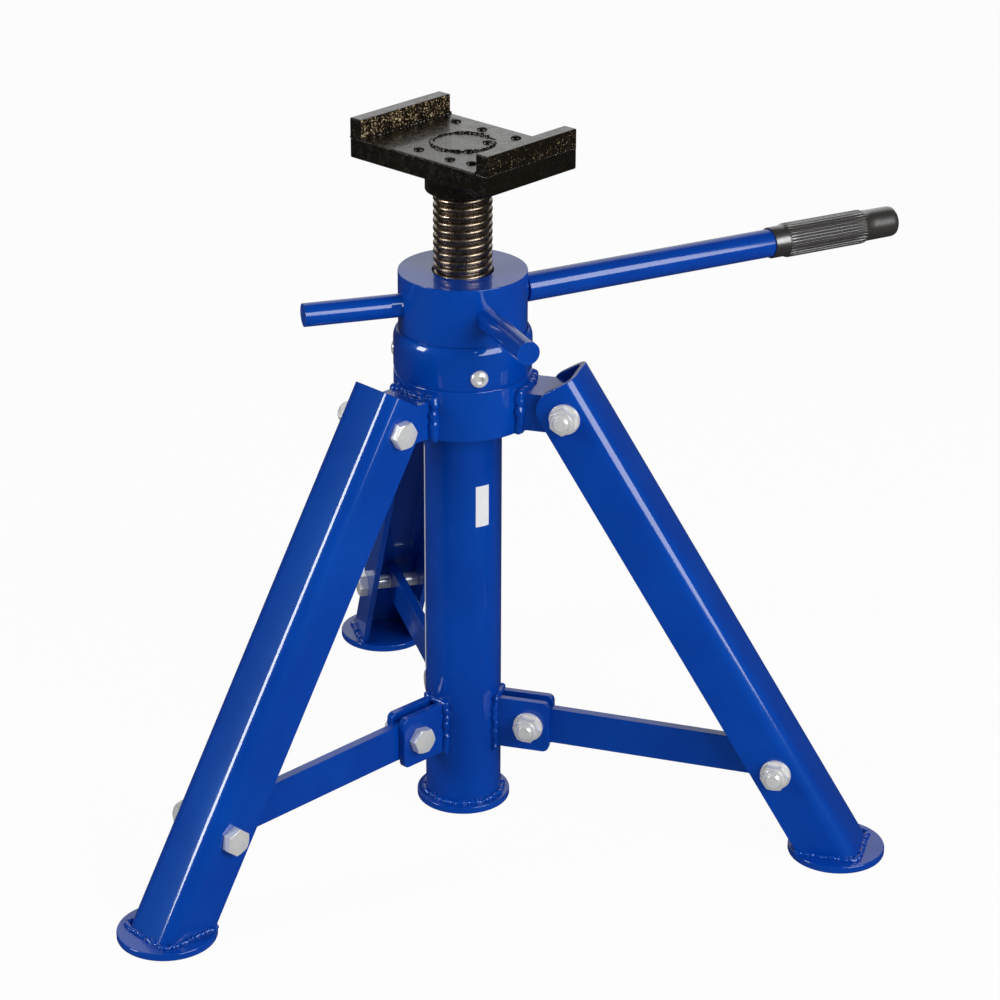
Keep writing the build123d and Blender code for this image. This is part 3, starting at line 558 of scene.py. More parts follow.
# distance along the grip, radius, depth between the ribs
GRIP_STATIONS = (
    (114.5, 11.2, 0), (0.0, 11.2, 0), (0.0, 12.1, 0), (0.6, 12.5, 0), (11.0, 12.5, 0),
    (13.0, 12.9, 0), (13.8, 13.4, 0.2), (15.0, 13.8, 0.9),
    (20.0, 13.8, 1.1), (50.0, 13.8, 1.1), (75.0, 13.8, 1.1),
    (85.0, 13.8, 1.0), (87.0, 13.6, 0.3), (88.0, 13.1, 0), (89.5, 12.5, 0), (95.0, 12.4, 0),
    (112.5, 12.3, 0), (115.5, 12.2, 0), (117.3, 11.6, 0), (118.3, 10.4, 0), (118.5, 8.5, 0),
)
grip = bmesh.new()
bmesh.ops.create_circle(grip, cap_ends=True, segments=RIBS * len(RIB_SHAPE), radius=1)
circle = sorted(grip.verts, key=lambda vert: atan2(vert.co.y, vert.co.x))
compass = [vert.co.copy() for vert in circle]
rim = grip.edges[:]
for station, (along, radius, depth) in enumerate(GRIP_STATIONS):
    if station:
        grown = bmesh.ops.extrude_edge_only(grip, edges=rim)["geom"]
        rim = [item for item in grown if isinstance(item, bmesh.types.BMEdge)]
        circle = sorted((item for item in grown if isinstance(item, bmesh.types.BMVert)),
                        key=lambda vert: atan2(vert.co.y, vert.co.x))
    for number, (vert, way) in enumerate(zip(circle, compass)):
        reach = radius - depth * RIB_SHAPE[number % len(RIB_SHAPE)]
        vert.co = (way.x * reach, way.y * reach, GRIP_START + along)
bmesh.ops.contextual_create(grip, geom=rim)
bmesh.ops.recalc_face_normals(grip, faces=grip.faces)
grip.transform(arm(HANDLE_BEARING))
make_piece("grip", grip, grip_rubber, "handle", ["handle_grip"], edge=0)

# %% [markdown]
# The screw's thread is a real helix. One pitch of its profile is drawn as a short line of edges
# and spun once with a lift: every step also moves it up a little, and after one turn it has
# climbed exactly one pitch. Copies of that turn, stacked a pitch apart, meet edge to edge and
# close the skin. Spinning all the turns in one go gives the same mesh, but takes minutes. The
# crests are rounded and the grooves deep, as on a coarse jack screw that has run for years.

# %% Lift screw
screw_low, screw_high = (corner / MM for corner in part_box("lift_screw"))
SCREW_R = screw_high.x
PITCH = 6.0
ROOT_R = SCREW_R - 2.2
STEPS = 72
END_TRIM = 0.2
# part of the pitch, radius
THREAD = ((0.0, ROOT_R), (0.08, ROOT_R), (0.16, SCREW_R - 1.2), (0.25, SCREW_R - 0.45),
          (0.36, SCREW_R - 0.1), (0.46, SCREW_R), (0.56, SCREW_R), (0.66, SCREW_R - 0.1),
          (0.77, SCREW_R - 0.45), (0.86, SCREW_R - 1.2), (0.94, ROOT_R), (1.0, ROOT_R))
turns = int((screw_high.z - screw_low.z) / PITCH) + 2

one_turn = bmesh.new()
profile = [one_turn.verts.new((r, 0, screw_low.z + (part - 1) * PITCH)) for part, r in THREAD]
for a, b in zip(profile, profile[1:]):
    one_turn.edges.new((a, b))
bmesh.ops.spin(
    one_turn, geom=one_turn.verts[:] + one_turn.edges[:], cent=(0, 0, 0), axis=(0, 0, 1),
    dvec=(0, 0, PITCH / STEPS), angle=2 * pi, steps=STEPS,
)
stack = bpy.data.meshes.new("one turn")
one_turn.to_mesh(stack)
one_turn.free()
screw = bmesh.new()
for _ in range(turns):
    screw.from_mesh(stack)
    stack.transform(Matrix.Translation((0, 0, PITCH)))
bmesh.ops.remove_doubles(screw, verts=screw.verts, dist=TOUCH)
for height, normal in ((screw_low.z + END_TRIM, -1), (screw_high.z - END_TRIM, 1)):
    bmesh.ops.bisect_plane(
        screw, geom=screw.verts[:] + screw.edges[:] + screw.faces[:],
        plane_co=(0, 0, height), plane_no=(0, 0, normal), clear_outer=True,
    )
bmesh.ops.holes_fill(screw, edges=[edge for edge in screw.edges if edge.is_boundary])
bmesh.ops.recalc_face_normals(screw, faces=screw.faces)
make_piece("screw", screw, oiled_steel, "screw_head", ["lift_screw"], edge=0)

# %% [markdown]
# Each leg is a steel strip folded into a channel. The natural way to model folded sheet is to
# fold a sheet: three flat strips, a bevel where they are bent, and a wall given to the whole.
# The foot end is then cut level with a plane, and the top corners are rounded with a big bevel.

# %% Legs and feet
LEG_BEARINGS = {"left": -150.0, "right": -30.0, "rear": 90.0}
FOOT_R = 306.5
PIVOT_R, PIVOT_Z = 87.5, 352.0
LEG_HALF = 25.0
LEG_WALL = 5.0
WEB_Y, LIP_Y = -21.5, 19.5
BEND_R = 12.0
TOP_LENGTH, TOP_CORNER_R = 24.0, 17.0
LEAN = atan2(FOOT_R - PIVOT_R, PIVOT_Z)
LEG_LENGTH = hypot(FOOT_R - PIVOT_R, PIVOT_Z)
SPARE_LENGTH = 60        # below the floor, where the plane cuts it off
foot_low, foot_high = (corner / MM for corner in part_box("foot_plate_left"))
FOOT_PLATE_R = (foot_high.x - foot_low.x) / 2


def leg_place(bearing):
    """A frame at a leg's pivot: x across the leg, y in towards the column, z up the leg."""
    return (
        place(bearing, PIVOT_R, PIVOT_Z)
        @ Matrix.Rotation(pi / 2, 4, "Z") @ Matrix.Rotation(-LEAN, 4, "X")
    )


for side, bearing in LEG_BEARINGS.items():
    leg = bmesh.new()
    bottom = -LEG_LENGTH - SPARE_LENGTH
    corners = [leg.verts.new((x, y, bottom)) for x, y in (
        (LEG_HALF, LIP_Y), (LEG_HALF, WEB_Y), (-LEG_HALF, WEB_Y), (-LEG_HALF, LIP_Y))]
    strip = [leg.edges.new(pair) for pair in zip(corners, corners[1:])]
    grown = bmesh.ops.extrude_edge_only(leg, edges=strip)["geom"]
    bmesh.ops.translate(
        leg, verts=[item for item in grown if isinstance(item, bmesh.types.BMVert)],
        vec=(0, 0, TOP_LENGTH - bottom),
    )
    bmesh.ops.recalc_face_normals(leg, faces=leg.faces)
    web = min(leg.faces, key=lambda face: face.calc_center_median().y)
    if web.normal.y > 0:
        bmesh.ops.reverse_faces(leg, faces=leg.faces)
    folds = [edge for edge in leg.edges if len(edge.link_faces) == 2]
    bmesh.ops.bevel(
        leg, geom=folds, offset=BEND_R, offset_type="OFFSET", segments=8, profile=0.5,
        affect="EDGES", material=-1,
    )
    bmesh.ops.solidify(leg, geom=leg.faces[:], thickness=LEG_WALL)
    inner_corners = [
        edge for edge in leg.edges
        if all(abs(v.co.z - TOP_LENGTH) < TOUCH and abs(v.co.y - LIP_Y) < TOUCH
               for v in edge.verts)
    ]
    bmesh.ops.bevel(
        leg, geom=inner_corners, offset=TOP_CORNER_R, offset_type="OFFSET", segments=10,
        profile=0.5, affect="EDGES", material=-1,
    )
    leg.transform(leg_place(bearing))
    bmesh.ops.bisect_plane(
        leg, geom=leg.verts[:] + leg.edges[:] + leg.faces[:], plane_co=(0, 0, foot_high.z),
        plane_no=(0, 0, -1), clear_outer=True,
    )
    bmesh.ops.holes_fill(leg, edges=[edge for edge in leg.edges if edge.is_boundary])
    bmesh.ops.recalc_face_normals(leg, faces=leg.faces)
    make_piece(f"channel_{side}", leg, blue_paint, "stand", [f"leg_{side}"], edge=0.6)

    foot = cylinder(0, FOOT_PLATE_R, 0, foot_high.z, place(bearing, FOOT_R))
    make_piece(f"foot_{side}", foot, blue_paint, "stand", [f"foot_plate_{side}"], edge=1.2)

# %% [markdown]
# Lugs, ears and braces are flat bar, sawn and drilled. A box is the right start for them, and
# one wide bevel on chosen edges gives the rounded ends. A lug is also cut to the shape of the
# channel's inside, bends and all. Each lug and ear runs on into the round piece that it is
# welded to, so no gap can show at the joint.

# %% Lugs, ears and braces
LUG_HALF = 19.75
LUG_HEIGHT = 30.0
LUG_END_R = 15.0
EAR_R, EAR_Z = 57.0, 78.0
EAR_TIP_R, EAR_HEIGHT, EAR_WALL, EAR_CORNER_R = 73.5, 43.0, 6.0, 5.0
BRACE_HEIGHT, BRACE_WALL = 30.0, 8.0
BRACE_Z = 74.0
BRACE_R = FOOT_R - (FOOT_R - PIVOT_R) * BRACE_Z / PIVOT_Z
EAR_SIDE = BRACE_WALL / 2 + 0.1 + EAR_WALL
LUG_ROOT, EAR_ROOT = 5, 3       # how far they run on into collar and column


def round_ends(shape, radius, picks, segments=10):
    """Rounds the upright-to-the-side edges of a box that this test picks."""
    edges = [edge for edge in shape.edges
             if abs(edge.verts[0].co.y - edge.verts[1].co.y) > 1 and picks(edge.verts[0].co)]
    bmesh.ops.bevel(shape, geom=edges, offset=radius, offset_type="OFFSET", segments=segments,
                    profile=0.5, affect="EDGES", material=-1)


for side, bearing in LEG_BEARINGS.items():
    lug_start = COLLAR_R - LUG_ROOT
    lug_length = PIVOT_R + LUG_END_R - lug_start
    lug = block((lug_length, 2 * LUG_HALF, LUG_HEIGHT))
    round_ends(lug, LUG_END_R - 0.1, lambda co: co.x > 0)
    lug.transform(place(bearing, lug_start + lug_length / 2, PIVOT_Z))
    inside = block((2 * LUG_HALF, 2 * PIVOT_R, 4 * PIVOT_R),
                   Matrix.Translation((0, PIVOT_R - LUG_END_R, 0)))
    bends = [edge for edge in inside.edges
             if all(vert.co.y < 0 for vert in edge.verts)
             and abs(edge.verts[0].co.z - edge.verts[1].co.z) > 1]
    bmesh.ops.bevel(inside, geom=bends, offset=BEND_R - LEG_WALL, offset_type="OFFSET",
                    segments=6, profile=0.5, affect="EDGES", material=-1)
    inside.transform(leg_place(bearing))
    lug = carve(lug, inside, "INTERSECT")
    make_piece(f"lug_{side}", lug, blue_paint, "stand", [f"pivot_lug_{side}"], edge=1.0)

    ears = []
    for turn in (-1, 1):
        ear_length = EAR_TIP_R - COLUMN_R + EAR_ROOT
        ear = block((ear_length, EAR_WALL, EAR_HEIGHT))
        round_ends(ear, EAR_CORNER_R, lambda co: co.x > 0, 6)
        ear.transform(place(bearing, EAR_TIP_R - ear_length / 2, EAR_Z)
                      @ Matrix.Translation((0, turn * (EAR_SIDE - EAR_WALL / 2), 0)))
        ears.append(ear)
    make_piece(f"ears_{side}", gather(ears), blue_paint, "stand", [f"brace_ears_{side}"], edge=0.7)

    run, rise = BRACE_R - EAR_R, BRACE_Z - EAR_Z
    brace = block((hypot(run, rise) + BRACE_HEIGHT, BRACE_WALL, BRACE_HEIGHT))
    round_ends(brace, BRACE_HEIGHT / 2 - 0.1, lambda co: True)
    brace.transform(place(bearing, (BRACE_R + EAR_R) / 2, (BRACE_Z + EAR_Z) / 2)
                    @ Matrix.Rotation(-atan2(rise, run), 4, "Y"))
    make_piece(f"flat_bar_{side}", brace, blue_paint, "stand", [f"brace_{side}"], edge=0.7)

# %% [markdown]
# There are nine identical joints, so one bolt, one washer and one nut are modelled with care and
# then placed nine times. A forged head and a nut are six-sided bars cut by a shallow cone, which
# leaves the curved shoulders on their flats. The nuts are the locking kind, with a round collar
# above the hexagon. Each set is turned by hand to its own angle, as a fitter would leave it. The
# angles of the two at the leg tops can be read from the photograph.

# %% Bolts, nuts and washers
HEX_R = 19 / 2 / cos(pi / 6)
BOLT_R = 6.0
BOLT_HEAD = 7.5
BOLT_END = 1.5
WASHER = 2.5
WASHER_R, WASHER_BORE_R = 12.0, 6.4
NUT_HEX, NUT_COLLAR = 7.0, 3.0
NUT_BORE_R, NUT_COLLAR_R = 6.1, 8.6
HEX_END_R = 9.1          # the round face that the cone leaves on a hexagon's end
HEX_DROP = (HEX_R - HEX_END_R) * 0.55   # how far the cone has come down at the corners


def hexagon(bottom, top, shoulder_low, shoulder_high):
    """A six-sided bar with its flats' corners turned off at the ends that ask for it."""
    bar = bmesh.new()
    bmesh.ops.create_cone(
        bar, cap_ends=True, segments=6, radius1=HEX_R, radius2=HEX_R, depth=top - bottom,
        matrix=Matrix.Translation((0, 0, (top + bottom) / 2)),
    )
    low = [(0, bottom), (HEX_END_R, bottom), (HEX_R + 1, bottom + HEX_DROP + 0.4)]
    high = [(HEX_R + 1, top - HEX_DROP - 0.4), (HEX_END_R, top), (0, top)]
    outline = (low if shoulder_low else [(0, bottom), (HEX_R + 1, bottom)]) + (
        high if shoulder_high else [(HEX_R + 1, top), (0, top)])
    return carve(bar, turned(outline, steps=96), "INTERSECT")


def bolt(grip_length, where, turn):
    """A bolt with its head's underside at z = 0. The grip is what it holds together."""
    reach = grip_length + WASHER + NUT_HEX + NUT_COLLAR + BOLT_END
    shank = turned([
        (0, -1), (BOLT_R, -1), (BOLT_R, reach - 1.2), (BOLT_R - 1.1, reach), (0, reach),
    ], steps=40)
    head = hexagon(-BOLT_HEAD, 0, True, False)
    head.transform(Matrix.Rotation(turn, 4, "Z"))
    whole = gather([head, shank])
    whole.transform(where)
    return whole


def washer(grip_length, where):
    """A flat washer at the far end of a bolt's grip."""
    return cylinder(WASHER_BORE_R, WASHER_R, grip_length, grip_length + WASHER, where, 64)


def lock_nut(grip_length, where, turn):
    """A locking nut on its washer: a hexagon with a round collar above it."""
    start = grip_length + WASHER
    end = start + NUT_HEX + NUT_COLLAR
    body = hexagon(start, start + NUT_HEX, False, True)
    body.transform(Matrix.Rotation(turn, 4, "Z"))
    bore = cylinder(0, NUT_BORE_R, start - 1, start + 12, steps=40)
    cap = turned([
        (NUT_BORE_R, start + NUT_HEX - 0.5), (NUT_COLLAR_R, start + NUT_HEX - 0.5),
        (NUT_COLLAR_R, start + NUT_HEX + 1.6), (NUT_COLLAR_R - 0.5, start + NUT_HEX + 2.6),
        (7.0, end), (NUT_BORE_R, end - 0.3),
    ], steps=64)
    whole = gather([carve(body, bore), cap])
    whole.transform(where)
    return whole


chance = Random(7)
JOINTS = ((PIVOT_R, PIVOT_Z, LEG_HALF), (BRACE_R, BRACE_Z, LEG_HALF), (EAR_R, EAR_Z, EAR_SIDE))
SEEN_ANGLES = {("left", PIVOT_R): pi / 6, ("right", PIVOT_R): 0}
leg_bolts, ear_bolts, washers, nuts = [], [], [], []
for side, bearing in LEG_BEARINGS.items():
    for r, z, half in JOINTS:
        where = (place(bearing, r, z) @ Matrix.Translation((0, half, 0))
                 @ Matrix.Rotation(pi / 2, 4, "X"))
        turn = SEEN_ANGLES.get((side, r), chance.uniform(0, pi / 3))
        (ear_bolts if r == EAR_R else leg_bolts).append(bolt(2 * half, where, turn))
        washers.append(washer(2 * half, where))
        nuts.append(lock_nut(2 * half, where, turn))
make_piece("leg_bolt_set", gather(leg_bolts), zinc_plated, "stand", ["leg_bolts"], edge=0.15)
make_piece("ear_bolt_set", gather(ear_bolts), zinc_plated, "stand", ["ear_bolts"], edge=0.15)
make_piece("washer_set", gather(washers), zinc_plated, "stand", ["flat_washers"], edge=0.3)
make_piece("lock_nut_set", gather(nuts), zinc_plated, "stand", ["hex_nuts"], edge=0.15)

# %% [markdown]
# The saddle is a thick plate on a short welded collar, with an upright bar at each end. The
# plate and bars were cut with a torch, so their edges are a little soft. Eight plugs of weld
# stand proud of the plate, like studs, and keep a load from slipping.

# %% Saddle
SADDLE_BEARING = -57.1
saddle_low, saddle_high = (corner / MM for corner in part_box("saddle_plate"))
SADDLE_LENGTH, SADDLE_WIDTH = 141.0, 96.0
BAR_WALL, BAR_HEIGHT = 12.0, 15.0
SADDLE_COLLAR_R = 28.5
saddle_thick = saddle_high.z - saddle_low.z
OUTER_GRIT_AND_GLINTS = 0.55     # grit and painted glints on the bars' outer faces, where the inner ones have 1

plate = block((SADDLE_LENGTH, SADDLE_WIDTH, saddle_thick),
              place(SADDLE_BEARING, 0, saddle_low.z + saddle_thick / 2))
make_piece("saddle_top", plate, saddle_paint, "screw_head", ["saddle_plate"], edge=1.2)

for name, end in (("left", -1), ("right", 1)):
    bar = block((BAR_WALL, SADDLE_WIDTH, BAR_HEIGHT + 1),
                place(SADDLE_BEARING, end * (SADDLE_LENGTH - BAR_WALL) / 2,
                      saddle_high.z + BAR_HEIGHT / 2 - 0.5))
    upright = make_piece(f"upright_{name}", bar, saddle_paint, "screw_head",
                         [f"saddle_bar_{name}"], edge=1.0)
    outward = place(SADDLE_BEARING).to_3x3() @ Vector((end, 0, 0))
    # Faces towards the other bar get the most grit and painted glints, outer faces less, tops none.
    mark_grit_and_glints(upright, lambda normal: max(-normal.dot(outward),
                                          OUTER_GRIT_AND_GLINTS * normal.dot(outward), 0))

sleeve_low, sleeve_high = (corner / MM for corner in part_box("saddle_collar"))
sleeve = cylinder(SCREW_R - 2, SADDLE_COLLAR_R, sleeve_low.z, sleeve_high.z)
make_piece("saddle_sleeve", sleeve, saddle_paint, "screw_head", ["saddle_collar"], edge=1.0)

WELD_STUDS = ((-40.1, 34.8), (-11.9, 33.6), (21, 35.6), (13.5, 13), (18.5, -12.6),
              (-11.5, -34.6), (21.7, -36.2), (39.6, -32.2))
STUD_R, STUD_HEIGHT = 4.1, 0.55   # the height is a share of the radius
studs = bmesh.new()
for along, across in WELD_STUDS:
    bmesh.ops.create_uvsphere(
        studs, u_segments=24, v_segments=16, radius=STUD_R,
        matrix=place(SADDLE_BEARING) @ Matrix.Translation((along, across, saddle_high.z))
        @ Matrix.Diagonal((1, 1, STUD_HEIGHT, 1)),
    )
make_piece("weld_studs", studs, saddle_paint, "screw_head", edge=0)

# %% [markdown]
# Nothing says hand-made like its welds. A weld bead is a row of small puddles that froze on top
# of each other, so it is modelled as exactly that: balls of slightly uneven size dropped along
# the joint, then melted together by a voxel remesh. Where the bead is thick the ripples are
# large, and the glossy paint over them gives the hard little highlights of the real one.

# %% Weld beads
# all of these are shares of a bead's radius
PUDDLE_STEP = 0.75
PUDDLE_DRIFT = 0.24
PUDDLE_SIZES = (0.72, 1.15)
MELT_GRAIN = 0.26


def weld(name, runs, radius, finish, body, seed):
    """Lays beads along runs of points, in millimetres, and melts each into one skin."""
    luck = Random(seed)
    puddles = bmesh.new()
    for run in runs:
        for a, b in zip(run, run[1:]):
            a, b = Vector(a), Vector(b)
            count = max(1, round((b - a).length / (radius * PUDDLE_STEP)))
            for step in range(count + 1):
                spot = a.lerp(b, step / count) + Vector(
                    [luck.uniform(-PUDDLE_DRIFT, PUDDLE_DRIFT) * radius for _ in range(3)])
                bmesh.ops.create_icosphere(
                    puddles, subdivisions=2, radius=radius * luck.uniform(*PUDDLE_SIZES),
                    matrix=Matrix.Translation(spot),
                )
    loose = bpy.data.meshes.new("puddles")
    puddles.transform(Matrix.Scale(MM, 4))
    puddles.to_mesh(loose)
    puddles.free()
    pool = bpy.data.objects.new("puddles", loose)
    bpy.context.collection.objects.link(pool)
    melt = pool.modifiers.new("melt", "REMESH")
    melt.mode = "VOXEL"
    melt.voxel_size = radius * MELT_GRAIN * MM
    bead = bmesh.new()
    bead.from_object(pool, bpy.context.evaluated_depsgraph_get())
    bpy.data.objects.remove(pool)
    bmesh.ops.smooth_vert(bead, verts=bead.verts, factor=0.5, use_axis_x=True, use_axis_y=True,
                          use_axis_z=True)
    bead.transform(Matrix.Scale(1 / MM, 4))
    return make_piece(name, bead, finish, body, edge=0, sharp=180)


def ring_run(radius, z, start=0, stop=360, steps=48):
    """Points along a level arc round the axis."""
    turns_at = [start + (stop - start) * step / steps for step in range(steps + 1)]
    return [place(bearing, radius, z).translation for bearing in turns_at]


def side_runs(bearing, radius, half, low, high, out, beside):
    """Upright lines along both sides of a bar that meets a round piece of this radius."""
    x = (radius ** 2 - half ** 2) ** 0.5 + out
    return [[place(bearing) @ Vector((x, turn * (half + beside), z)) for z in (low, high)]
            for turn in (-1, 1)]


weld("weld_column_foot", [ring_run(COLUMN_R + 0.8, plate_high.z + 0.6)], 2.6, blue_paint,
     "stand", 11)
weld("weld_column_collar", [ring_run(COLUMN_R + 0.2, collar_low.z + 0.2)], 1.8, blue_paint,
     "stand", 12)

LUG_SPREAD, EAR_SPREAD = 21.5, 17   # degrees to each side that the level beads reach
for number, (side, bearing) in enumerate(LEG_BEARINGS.items()):
    lug_low, lug_high = PIVOT_Z - LUG_HEIGHT / 2, PIVOT_Z + LUG_HEIGHT / 2
    sides = side_runs(bearing, COLLAR_R, LUG_HALF, lug_low, lug_high, 1.2, 0.6)
    over = [ring_run(COLLAR_R + 0.8, z, bearing - LUG_SPREAD, bearing + LUG_SPREAD, 10)
            for z in (lug_high + 0.4, lug_low - 0.2)]
    weld(f"weld_lug_{side}", sides, 4.8, blue_paint, "stand", 20 + number)
    weld(f"weld_lug_ends_{side}", over, 3.0, blue_paint, "stand", 30 + number)

    ear_low, ear_high = EAR_Z - EAR_HEIGHT / 2, EAR_Z + EAR_HEIGHT / 2
    ear_runs = side_runs(bearing, COLUMN_R, EAR_SIDE, ear_low, ear_high, 1.0, 0.8)
    ear_runs.append(ring_run(COLUMN_R + 0.4, ear_high, bearing - EAR_SPREAD,
                             bearing + EAR_SPREAD, 6))
    weld(f"weld_ears_{side}", ear_runs, 2.9, blue_paint, "stand", 40 + number)

    frame_of_leg = leg_place(bearing)
    along = frame_of_leg.to_3x3() @ Vector((0, 0, 1))
    skirt = []
    half_skirt = ((LEG_HALF, LIP_Y), (LEG_HALF, 0), (LEG_HALF, WEB_Y + 6),
                  (LEG_HALF - 2, WEB_Y + 1.5), (LEG_HALF - 6, WEB_Y))
    mirrored = tuple((-x, y) for x, y in reversed(half_skirt))
    for x, y in (*half_skirt, (0, WEB_Y), *mirrored):
        point = frame_of_leg @ Vector((x * 1.02, y, 0))
        skirt.append(point + along * ((foot_high.z + 0.6 - point.z) / along.z))
    weld(f"weld_foot_{side}", [skirt], 2.3, blue_paint, "stand", 50 + number)


def across_saddle(reach):
    """Level lines over the saddle's width, one at each end."""
    half_width = SADDLE_WIDTH / 2 - 1
    return [[place(SADDLE_BEARING) @ Vector((end * reach, side * half_width, saddle_high.z))
             for side in (-1, 1)] for end in (-1, 1)]


seams = across_saddle(SADDLE_LENGTH / 2 - 0.3)
feet = across_saddle(SADDLE_LENGTH / 2 - BAR_WALL - 0.3)
weld("weld_saddle_seams", seams, 0.9, saddle_paint, "screw_head", 60)
weld("weld_saddle_feet", feet, 1.6, saddle_paint, "screw_head", 61)
weld("weld_screw_top", [ring_run(SCREW_R + 0.8, saddle_high.z - 0.3, steps=60)], 1.8, saddle_paint,
     "screw_head", 62)
weld("weld_saddle_sleeve", [ring_run(SADDLE_COLLAR_R + 0.3, saddle_low.z - 0.2)], 1.6,
     saddle_paint, "screw_head", 63)

# %% [markdown]
# One small white sticker faces the camera on the column, and a long one is only seen edge-on at
# its left. Both are left bare here. A sticker follows the tube, so it is a short upright line
# spun through the few degrees that it covers, and given the thickness of film.

# %% Stickers
FILM_R, FILM_WALL = COLUMN_R + 0.12, 0.1


def sticker(name, start, stop, low, high):
    """A bare sticker on the column, from one bearing and height to another."""
    film = bmesh.new()
    ends = [film.verts.new((FILM_R, 0, z)) for z in (low, high)]
    film.edges.new(ends)
    bmesh.ops.transform(film, matrix=Matrix.Rotation(radians(start), 4, "Z"), verts=film.verts)
    bmesh.ops.spin(film, geom=film.verts[:] + film.edges[:], cent=(0, 0, 0), axis=(0, 0, 1),
                   angle=radians(stop - start), steps=16)
    bmesh.ops.recalc_face_normals(film, faces=film.faces)
    bmesh.ops.solidify(film, geom=film.faces[:], thickness=FILM_WALL)
    bmesh.ops.recalc_face_normals(film, faces=film.faces)
    return make_piece(name, film, sticker_film, "stand", edge=0)


sticker("sticker", start=-84.5, stop=-62.6, low=253, high=287)
sticker("long_sticker", start=-219, stop=-181, low=119, high=312)

# %% [markdown]
# What is left of the frame is hidden inside: the bearing, the guide strip and the stop under the
# screw. They keep their plain solids and get a steel finish, so that the stand is also right
# when it is taken apart.

# %% Finishes for the hidden parts
HIDDEN = {
    "lower_race": ground_steel, "upper_race": ground_steel, "roller_cage": ground_steel,
    "bearing_rollers": ground_steel, "guide_strip": ground_steel,
    "stop_plate": oiled_steel, "stop_washer": zinc_plated, "stop_bolt": zinc_plated,
}
for name, finish in HIDDEN.items():
    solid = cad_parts[name]
    for slot in solid.material_slots:
        slot.material = finish
print("hidden parts finished:", len(HIDDEN))

# %% [markdown]
# The stand was photographed on white in a dim room, between two bright soft boxes. The floor
# here is pale and keeps the shadow under the feet. Glossy rays that leave towards the white
# backdrop find it bright, and the others find the dim room, which keeps the blue deep. The soft
# boxes stand where the highlights say: a narrow one at the left draws the long bright line
# down the left leg's fold, and a tall one right of the camera draws the band along the handle
# and the line down the right leg.

# %% Floor, lamps and background
FLOOR_HALF = 9.0         # metres
floor_mesh = bmesh.new()
bmesh.ops.create_grid(floor_mesh, x_segments=1, y_segments=1, size=FLOOR_HALF)
sheet = bpy.data.meshes.new("floor")
floor_mesh.to_mesh(sheet)
floor_mesh.free()
floor = bpy.data.objects.new("floor", sheet)
bpy.context.collection.objects.link(floor)

SHOWN_WHITE = 0.96       # part of the floor's colour that the camera sees as plain white
SHOWN_DIM = 1.0          # part of it that glossy rays see as the dim room
ROOM_HIGH, ROOM_LOW = 0.37, 0.04  # light from the room, right in front and at the back left
DIM_LEVEL, BACKDROP_LEVEL = 0.03, 0.9  # what glossy rays find before and behind the stand
BACKDROP_WAY = (-cos(CAMERA_BEARING), -sin(CAMERA_BEARING), 0.35)
BACKDROP_EDGE = (0.78, 0.95)           # how far rays lean that way where its edge fades in
FRONT_WAY = (0.30, -0.72, 0.62)
LAMP_AIM = Vector((0, 0, 0.3))

pale, shader = new_finish("pale_floor", (0.80, 0.80, 0.80), 0.9, Specular_IOR_Level=0.1)
rays = add_node(pale, "ShaderNodeLightPath").outputs
share = sum_of(pale, sum_of(pale, rays["Is Camera Ray"], SHOWN_WHITE, "MULTIPLY"),
               sum_of(pale, rays["Is Glossy Ray"], SHOWN_DIM, "MULTIPLY"))
shown = add_node(pale, "ShaderNodeMapRange", Value=rays["Is Camera Ray"], To_Min=DIM_LEVEL)
glow = add_node(pale, "ShaderNodeEmission", Strength=shown.outputs["Result"])
glow.inputs["Color"].default_value = (1, 1, 1, 1)
blend = add_node(pale, "ShaderNodeMixShader", Fac=share)
pale.node_tree.links.new(shader.outputs["BSDF"], blend.inputs[1])
pale.node_tree.links.new(glow.outputs["Emission"], blend.inputs[2])
join(pale, blend.outputs["Shader"], pale.node_tree.nodes["Material Output"], "Surface")
sheet.materials.append(pale)

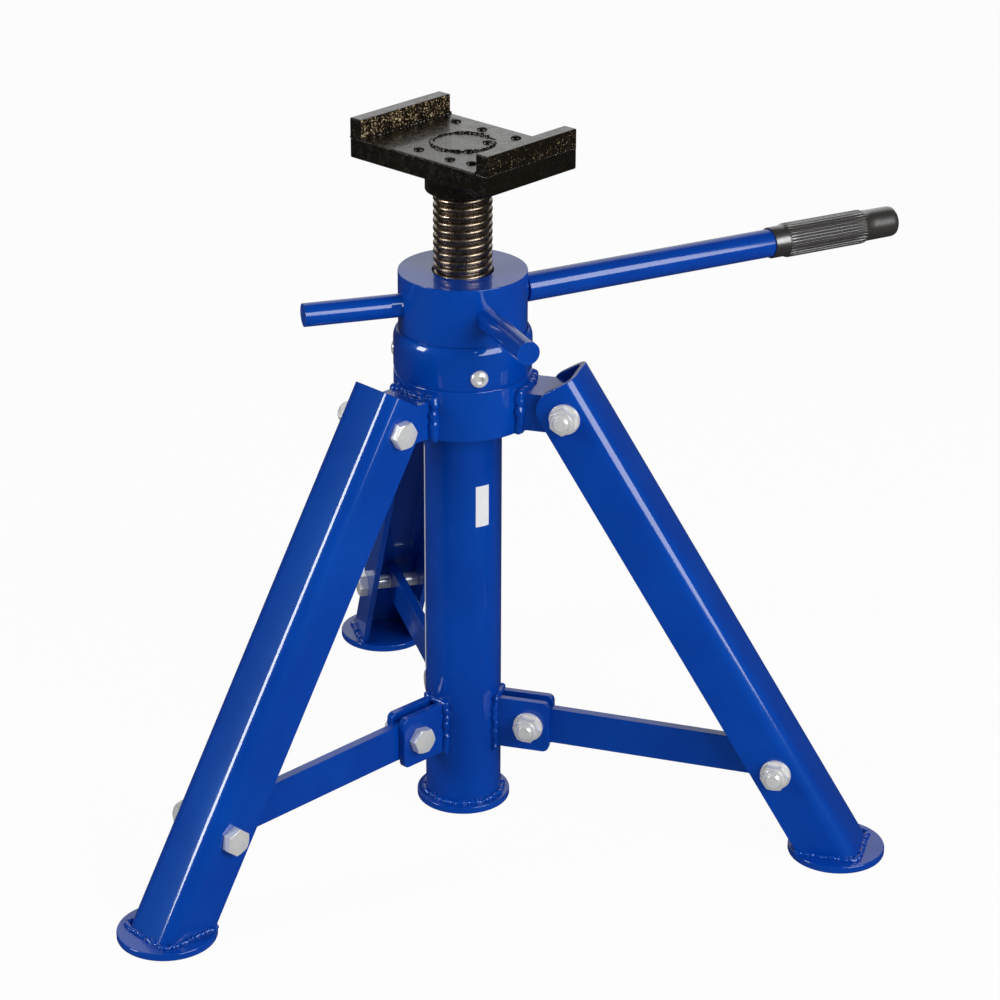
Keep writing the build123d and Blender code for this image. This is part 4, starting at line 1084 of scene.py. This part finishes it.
world = bpy.data.worlds.new("studio")
bpy.context.scene.world = world
world.use_nodes = True
rays = add_node(world, "ShaderNodeLightPath").outputs
way = add_node(world, "ShaderNodeTexCoord").outputs["Generated"]


def leaning(direction):
    """How far each ray leans in a direction."""
    node = add_node(world, "ShaderNodeVectorMath", {"operation": "DOT_PRODUCT"})
    world.node_tree.links.new(way, node.inputs[0])
    node.inputs[1].default_value = direction
    return node.outputs["Value"]


backdrop = add_node(world, "ShaderNodeMapRange", Value=leaning(BACKDROP_WAY),
                    From_Min=BACKDROP_EDGE[0], From_Max=BACKDROP_EDGE[1],
                    To_Min=DIM_LEVEL, To_Max=BACKDROP_LEVEL).outputs["Result"]
glossy = sum_of(world, rays["Is Glossy Ray"], backdrop, "MULTIPLY")
room = add_node(world, "ShaderNodeMapRange", Value=leaning(FRONT_WAY), From_Min=-0.5,
                To_Min=ROOM_LOW, To_Max=ROOM_HIGH).outputs["Result"]
matte = add_node(world, "ShaderNodeMapRange", Value=rays["Is Glossy Ray"], To_Min=1, To_Max=0)
room = sum_of(world, room, matte.outputs["Result"], "MULTIPLY")
level = sum_of(world, sum_of(world, glossy, room), rays["Is Camera Ray"])
join(world, level, world.node_tree.nodes["Background"], "Strength")
world.node_tree.nodes["Background"].inputs["Color"].default_value = (1, 1, 1, 1)


def soft_box(name, bearing, distance, height, width, tall, glare):
    """An area lamp that looks at the stand. Glare is how bright its face is, where white is 1."""
    light = bpy.data.lights.new(name, "AREA")
    light.shape = "RECTANGLE"
    light.size, light.size_y = width, tall
    light.energy = glare * pi * width * tall
    box = bpy.data.objects.new(name, light)
    bpy.context.collection.objects.link(box)
    spot = Vector((distance * cos(radians(bearing)), distance * sin(radians(bearing)), height))
    box.location = spot
    box.rotation_euler = (LAMP_AIM - spot).to_track_quat("-Z", "Y").to_euler()


soft_box("left_box", -176, 2.0, 1.05, width=0.55, tall=0.8, glare=15)
soft_box("right_box", -58, 2.2, 1.3, width=1.7, tall=1.4, glare=6)
